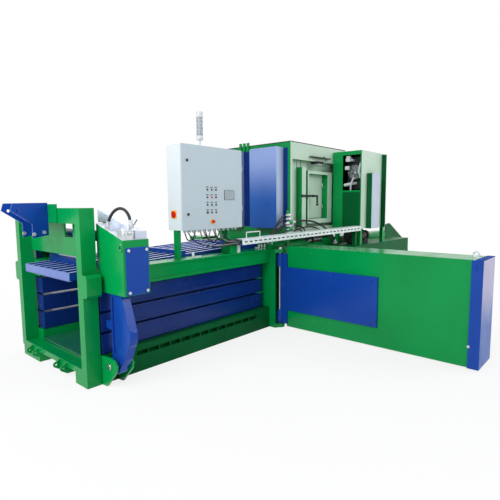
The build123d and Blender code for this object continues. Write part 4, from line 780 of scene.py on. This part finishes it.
# %% Short loops under the cabinet
span = np.linspace(0, 1, 7)
loops = ((1322, 1486, 105), (1568, 1732, 125), (1650, 1896, 150), (1814, 1978, 110))
for number, (start, end, sag) in enumerate(loops):
    level = 1454 - sag * (1 - (2 * span - 1) ** 4)
    bow = np.c_[start + (end - start) * span, 0 * span - 700, level]
    run_hose(f"loop_cable_{number}", bow, 14, (hose_rubber, grey_plastic)[number % 2])

# %% [markdown]
# ## Galvanised brackets
# The tray rests on a folded foot, carries a bent frame for more cables, and a small angle waits
# on the beam under the cabinet. Each is a flat bar that a bender has turned round a few
# corners: one section carried along a bent path.

# %% Galvanised brackets
tray_frame = bent([(2222, -866, 1318), (2222, -866, 1408), (2440, -912, 1414), (2440, -912, 1326)], 12)
small_angle = bent([(1400, -752, 1214), (1400, -752, 1143.5), (1530, -752, 1143.5)], 8)
make_piece("tray_frame", [carried(bar(14, 4), tray_frame, (0, -1, 0))], galvanised, flat=True)
make_piece("small_angle", [carried(bar(34, 5), small_angle, (0, -1, 0))], galvanised, flat=True)
tray_foot = [
    rounded((2129, 2135), (-798, -780.4), (1141, 1262), 2, 2, 1),
    rounded((2129, 2187), (-786, -780.4), (1141, 1240), 1, 4, 1),
]
make_piece("tray_foot", tray_foot, galvanised)

# %% [markdown]
# ## Plates behind and before
# The box panels of the hopper stand on one wide blue plate, which shows as dark strips beside
# them; the plate's darker blue is painted shade. A thin plate caps the outer end of the needle box;
# its matt dark blue is painted shade for the box's shaded inside. The teeth of the top flap end
# behind a front strip, so that a bale can't catch on them; it is folded back a little along its
# lower edge, and its lighter blue is a painted sheen. All are blocks with rounded outlines.

# %% Panel base, box cap and flap strip
panel_base = rounded((3274, 3279.6), (-748, 748), (1420, 2612), 0, 12, 1)
make_piece("panel_base_plate", [panel_base], shaded_blue_enamel)
cap_top = rounded((2888, 3368), (-3524, -3448), (1178, 1186), 2, 3, 1)
make_piece("needle_box_cap", [cap_top], shaded_matt_blue_enamel, "needle_housing")
flap_strip = [
    rounded((-8, -0.5), (-540, 540), (1036, 1117), 0, 5, 1.5),
    rounded((-8, 24), (-540, 540), (1028, 1034.6), 2, 3, 1),
]
make_piece("flap_front_strip", flap_strip, periwinkle_sheen_enamel, "flap")

# %% [markdown]
# ## Rim of the hopper
# The top edge of the hopper is covered with a black rubber profile. Its path is a rectangle with
# round corners that closes on itself, so the grid is joined in both directions, like a long thin
# torus. The section is a half-round over the sheet's edge.

# %% Rubber trim on the rim
trim_section = np.array([(-9, -8), (-9, 1), (-6, 4), (0, 5), (6, 4), (9, 1), (9, -8)])
count = 48
corner_turn = full_turn(count) + np.pi / (2 * count)
outward = np.stack([np.cos(corner_turn), np.sin(corner_turn), np.zeros(count)], axis=-1)
rim_middle, rim_half, rim_radius = (4090, 0, 2700.6), (794, 784, 0), 10
rim_path = rim_middle + np.sign(outward) * rim_half + rim_radius * outward
outward = np.where(abs(outward) > 0.99, np.sign(outward), outward)
sideways, upwards = trim_section[None, :, :1], trim_section[None, :, 1:]
trim = at(rim_path[:, None] + sideways * outward[:, None] + upwards * np.array([0, 0, 1]))
make_piece("rim_trim", [trim], hose_rubber, closed=True)

# %% [markdown]
# ## Work lamp and latch
# The conduit of the work lamp leaves its side and bends up to the wall. The latch bar has a
# turned knob at its end, a hand grip on its drop arm and a washer under its spindle; they
# belong to the latch, so they turn with it.

# %% Lamp conduit and latch knobs
conduit = bent([(4079, -836, 2424), (4180, -836, 2424), (4226, -834, 2500), (4180, -800, 2538)], 34)
make_piece("lamp_conduit", [carried(circle(8), conduit, (0, 1, 0.2))], grey_plastic)
lamp_glass = [rounded((3922, 4068), (-868, -806), (2395, 2405.2), 2, 10, 2)]
make_piece("lamp_glass", lamp_glass, pale_plastic)

knob = [(8, 0), (8, 6), (17, 12), (21, 20), (21, 30), (16, 38), (8, 41)]
knobs = [turned(knob, (3600, -811, 1898), (-1, 0, 0)), turned(knob, (3994, -811, 1785), (0, 0, -1))]
knobs += [turned([(24, 0), (24, 3), (15, 4), (15, 12), (12, 15)], (3860, -818, 1898), (0, -1, 0))]
make_piece("latch_knobs", knobs, black_plastic, "feed_latch")

# %% [markdown]
# ## Cooler behind the window
# Through the window in the power pack one sees a fan with a guard of wire rings, bright pipe
# elbows and the dark room behind. A blade is a curved sheet: its angle about the hub grows with
# the radius, and its pitch falls from root to tip. Solidify turns the sheet into a plate.

# %% Fan
fan_middle = np.array([4622, -1150, 2290], float)
rings, ribs, blade_count = 10, 7, 6
radius, across = np.meshgrid(np.linspace(28, 112, rings), np.linspace(-0.5, 0.5, ribs), indexing="ij")
sweep = across * (0.62 + 0.004 * radius) + 0.0035 * radius
pitch = across * (26 - 0.1 * radius)
turn = sweep + np.arange(blade_count)[:, None, None] * np.pi / 3
blades = at(fan_middle + np.stack([pitch + 0 * turn, radius * np.cos(turn), radius * np.sin(turn)], axis=-1))

corner_of = np.arange(rings - 1)[:, None] * ribs + np.arange(ribs - 1)
quads = np.stack([corner_of, corner_of + 1, corner_of + ribs + 1, corner_of + ribs], axis=-1)
quads = quads + np.arange(blade_count)[:, None, None, None] * rings * ribs
blade_mesh = bpy.data.meshes.new("fan_blades")
blade_mesh.from_pydata(blades.reshape(-1, 3).tolist(), [], quads.reshape(-1, 4).tolist())
blade_mesh.shade_smooth()
blade_mesh.materials.append(grey_plastic)
fan_blades = stand("fan_blades", blade_mesh)
thickness = fan_blades.modifiers.new("thickness", "SOLIDIFY")
thickness.thickness = 0.003
thickness.offset = 0
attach(fan_blades, "frame")
print("fan blade sweeps", round(float(np.degrees(np.ptp(sweep))), 1), "degrees")

# %% [markdown]
# The guard is made of wire rings. A ring is a torus: a small circle carried round a large one,
# closed in both directions. The wires that hold the rings are straight round bars.

# %% Fan guard and pipes
def wire_ring(radius, wire, place):
    """place + (radius + wire * cos u) round the circle of t, and wire * sin u along X."""
    t, u = full_turn(40)[:, None], full_turn(6)[None, :]
    reach = radius + wire * np.cos(u)
    ring = np.stack([wire * np.sin(u) + 0 * t, reach * np.cos(t), reach * np.sin(t)], axis=-1)
    return at(place + ring)


guard_place = fan_middle - (26, 0, 0)
guard_rings = [wire_ring(radius, 3, guard_place) for radius in (30, 58, 86, 114)]
make_piece("fan_guard", guard_rings, bright_zinc, closed=True)
spokes = []
for t in np.arange(4) * np.pi / 2 + 0.4:
    wire = guard_place + np.array([[0, np.cos(t), np.sin(t)]]) * np.array([[24], [122]])
    spokes.append(carried(circle(3, 6), wire, (1, 0, 0)))
hub = turned([(26, -12), (26, 2), (18, 10)], fan_middle, (-1, 0, 0))
make_piece("fan_guard_spokes", [*spokes, hub], bright_zinc)

pipes = [
    carried(circle(24), bent([(4520, -1022, 2490), (4570, -1110, 2490), (4638, -1110, 2490)], 30), (0, 0, 1)),
    carried(circle(20), bent([(4525, -1300, 2430), (4525, -1262, 2300), (4560, -1290, 2180)], 40), (1, 0, 0)),
    carried(circle(26), bent([(4530, -1000, 2080), (4545, -1120, 2100), (4638, -1160, 2110)], 40), (0, 0, 1)),
    carried(circle(13), bent([(4520, -1120, 1985), (4520, -1130, 2120), (4530, -1180, 2210)], 40), (1, 0, 0)),
    rounded((4520, 4580), (-1105, -1030), (2462, 2556), 0, 12, 4),
    rounded((4515, 4560), (-1090, -1010), (2330, 2392), 0, 12, 4),
]
make_piece("cooler_pipes", pipes, pale_plastic)

# %% [markdown]
# ## Cabinet fittings
# A yellow plate behind the red switch tells it is the main one. Its outer edge is a square and
# its inner edge a circle, so the radius changes with the angle. Blank legend plates sit over
# the buttons, and a flat bar bent round four corners frames the screen.

# %% Switch plate, legend plates and screen frame
def square_ring(half, bore, place, thick):
    """A ring along X: inner radius bore, outer radius half / max(|cos t|, |sin t|), a square."""
    t = full_turn(48)
    square = (half / np.maximum(abs(np.cos(t)), abs(np.sin(t))))[None, :]
    radius = np.concatenate([0 * square + bore, square, square, 0 * square + bore])
    depth = np.array([0, 0, thick, thick])[:, None] + 0 * t
    ring = np.stack([-depth, radius * np.cos(t), radius * np.sin(t)], axis=-1)
    return at(np.array(place) + ring)


make_piece("switch_plate", [square_ring(47, 24, (1183.8, -685, 1663), 2.4)], yellow_plastic, closed=True)
legends = [
    rounded((s - 21, s + 21), (-843.6, -842.1), (z + 22, z + 38), 1, 3, 0.4)
    for s in (1563, 1633, 1703) for z in (1950, 1860, 1770, 1680)
]
make_piece("legend_plates", legends, grey_plastic, "control_door")
corners = ((1848, 1834), (2017, 1834), (2017, 1946), (1848, 1946), (1848, 1834.1))
screen_frame = carried(bar(3, 2), bent([(s, -848.6, z) for s, z in corners], 4), (0, -1, 0))
make_piece("screen_frame", [screen_frame], grey_plastic, "control_door", flat=True)

# %% [markdown]
# ## Rod and clamp at the hood
# A thin rod props the pale hood over the near housing, and a black clamp in the shape of a T
# holds its wiring.

# %% Hood rod and clamp
prop = bent([(326, -1118, 1556), (352, -1114, 1566), (418, -1100, 1636)], 12)
make_piece("hood_prop", [carried(circle(5, 8), prop, (0, 1, 0))], black_plastic)
clamp = [
    rounded((318, 329.4), (-760, -640), (1583, 1603), 1, 5, 2),
    rounded((316, 329.4), (-706, -694), (1560, 1583), 2, 4, 1),
]
make_piece("wiring_clamp", clamp, black_plastic)

# %% [markdown]
# ## Weld beads
# Plates that meet at a corner are joined by a fillet weld. The welder's hand leaves a ripple of
# small overlapping scales, so the bead's radius is a mean value plus a wave along its length.
# Real scales are 3 mm long; these are 12 mm, so that they catch light at this distance.

# %% Weld beads
def bead(start, end, size=7.0, scale=12.0):
    """A round section carried from start to end, of radius
    size * (0.85 + 0.15 * |sin(pi * distance / scale)|)."""
    start, end = np.array(start, float), np.array(end, float)
    length = np.linalg.norm(end - start)
    way = np.linspace(0, 1, max(int(length / scale * 4), 8))[:, None]
    path = start + way * (end - start)
    swell = 0.85 + 0.15 * abs(np.sin(np.pi * way * length / scale))
    upright = abs(end - start)[2] >= length / 2
    plain = carried(circle(size, 6), path, (1, 0, 0) if upright else (0.3, 0.2, 1))
    middle = at(path)[:, None]
    return middle + (plain - middle) * swell[:, :, None]


post_corner = (1189, -721, 1141)
beads = [
    bead(post_corner, (1251, -721, 1141)), bead(post_corner, (1189, -659, 1141)),
    bead((2001, -781, 1141), (2128, -781, 1141)), bead((3180, -812.6, 1152), (3180, -812.6, 1198), 5),
]
beads += [bead((station, -696, 1412), (station, -696, 2440), 6) for station in (3329, 3579, 3691)]
make_piece("weld_beads", beads, green_enamel)

# %% [markdown]
# ## Studio
# The floor and the surroundings are plain white. What the camera, a gloss or a glass sees of them is
# an even white of strength one, mixed in by the kind of ray; all the other light comes at a level
# at which a colour looks as it was written. Near the machine the floor keeps a share of its real
# shading, so that the machine stands in its own shadow, and the share fades with distance.

# %% Floor
def seen(tree):
    """1 for a ray from the camera, a gloss or a glass, else 0: the largest of the three answers."""
    ray = add(tree, "LightPath")
    plain = add(tree, "Math", {0: ray["Is Camera Ray"], 1: ray["Is Glossy Ray"]}, operation="MAXIMUM")[0]
    return add(tree, "Math", {0: plain, 1: ray["Is Transmission Ray"]}, operation="MAXIMUM")[0]


reach = 60.0
floor_mesh = bpy.data.meshes.new("floor")
corners = [(-reach, -reach, 0), (reach, -reach, 0), (reach, reach, 0), (-reach, reach, 0)]
floor_mesh.from_pydata(corners, [], [(0, 1, 2, 3)])
stand("floor", floor_mesh)

floor_paint = {"Base Color": linear("#EDEDED"), "Roughness": 0.8}
painted_floor, tree, shader, place = start_finish("white floor paint", floor_paint)
machine_middle = (-1.7, -1.0, 0.0)
away = add(tree, "VectorMath", {0: place, 1: machine_middle}, operation="DISTANCE")["Value"]
fade = {"Value": away, "From Min": 3.5, "From Max": 7.0, "To Min": 0.82, "To Max": 1.0}
share = add(tree, "MapRange", fade)["Result"]
share = add(tree, "Math", {0: share, 1: seen(tree)}, operation="MULTIPLY")[0]
white = add(tree, "Emission", {"Color": (1, 1, 1, 1), "Strength": 1.0})[0]
mixed = add(tree, "MixShader", {0: share, 1: shader.outputs[0], 2: white})[0]
fill(tree.nodes["Material Output"], {"Surface": mixed})
floor_mesh.materials.append(painted_floor)
print("floor shaded within", fade["From Max"], "m of the machine's middle")

# %% Surroundings
world = bpy.data.worlds.new("studio")
bpy.context.scene.world = world
world.use_nodes = True
tree = world.node_tree
sky = tree.nodes["Background"]
fill(sky, {"Color": (0.93, 0.96, 1.0, 1), "Strength": 0.46})
white = add(tree, "Background", {"Color": (1, 1, 1, 1), "Strength": 1.0})[0]
mixed = add(tree, "MixShader", {0: seen(tree), 1: sky.outputs[0], 2: white})[0]
fill(tree.nodes["World Output"], {"Surface": mixed})
print("sky of strength", round(sky.inputs["Strength"].default_value, 2))

# %% [markdown]
# ## Lamps
# Two wide soft lamps do the work. One stands in front of the portal and lights the ends that face
# the camera's left, one stands to the side of the machine. A third, behind and above, gives the
# top faces their pale shine.

# %% Lamps
for name, place, target, size, power in (
    ("front_lamp", (-11.0, -2.0, 5.5), (-3.0, -0.8, 0.9), 5.0, 520.0),
    ("side_lamp", (2.0, -9.0, 6.0), (-1.5, -0.8, 1.6), 5.0, 410.0),
    ("back_lamp", (3.0, 6.0, 7.0), (-2.0, 0.0, 1.2), 6.0, 560.0),
):
    lamp_data = bpy.data.lights.new(name, "AREA")
    lamp_data.size = size
    lamp_data.energy = power
    lamp = stand(name, lamp_data)
    lamp.location = place
    throw = Vector(target) - Vector(place)
    lamp.rotation_euler = throw.to_track_quat("-Z", "Y").to_euler()
    print(name, "throws", power, "watts from", round(throw.length, 1), "m")
bpy.context.scene.view_settings.view_transform = "Standard"
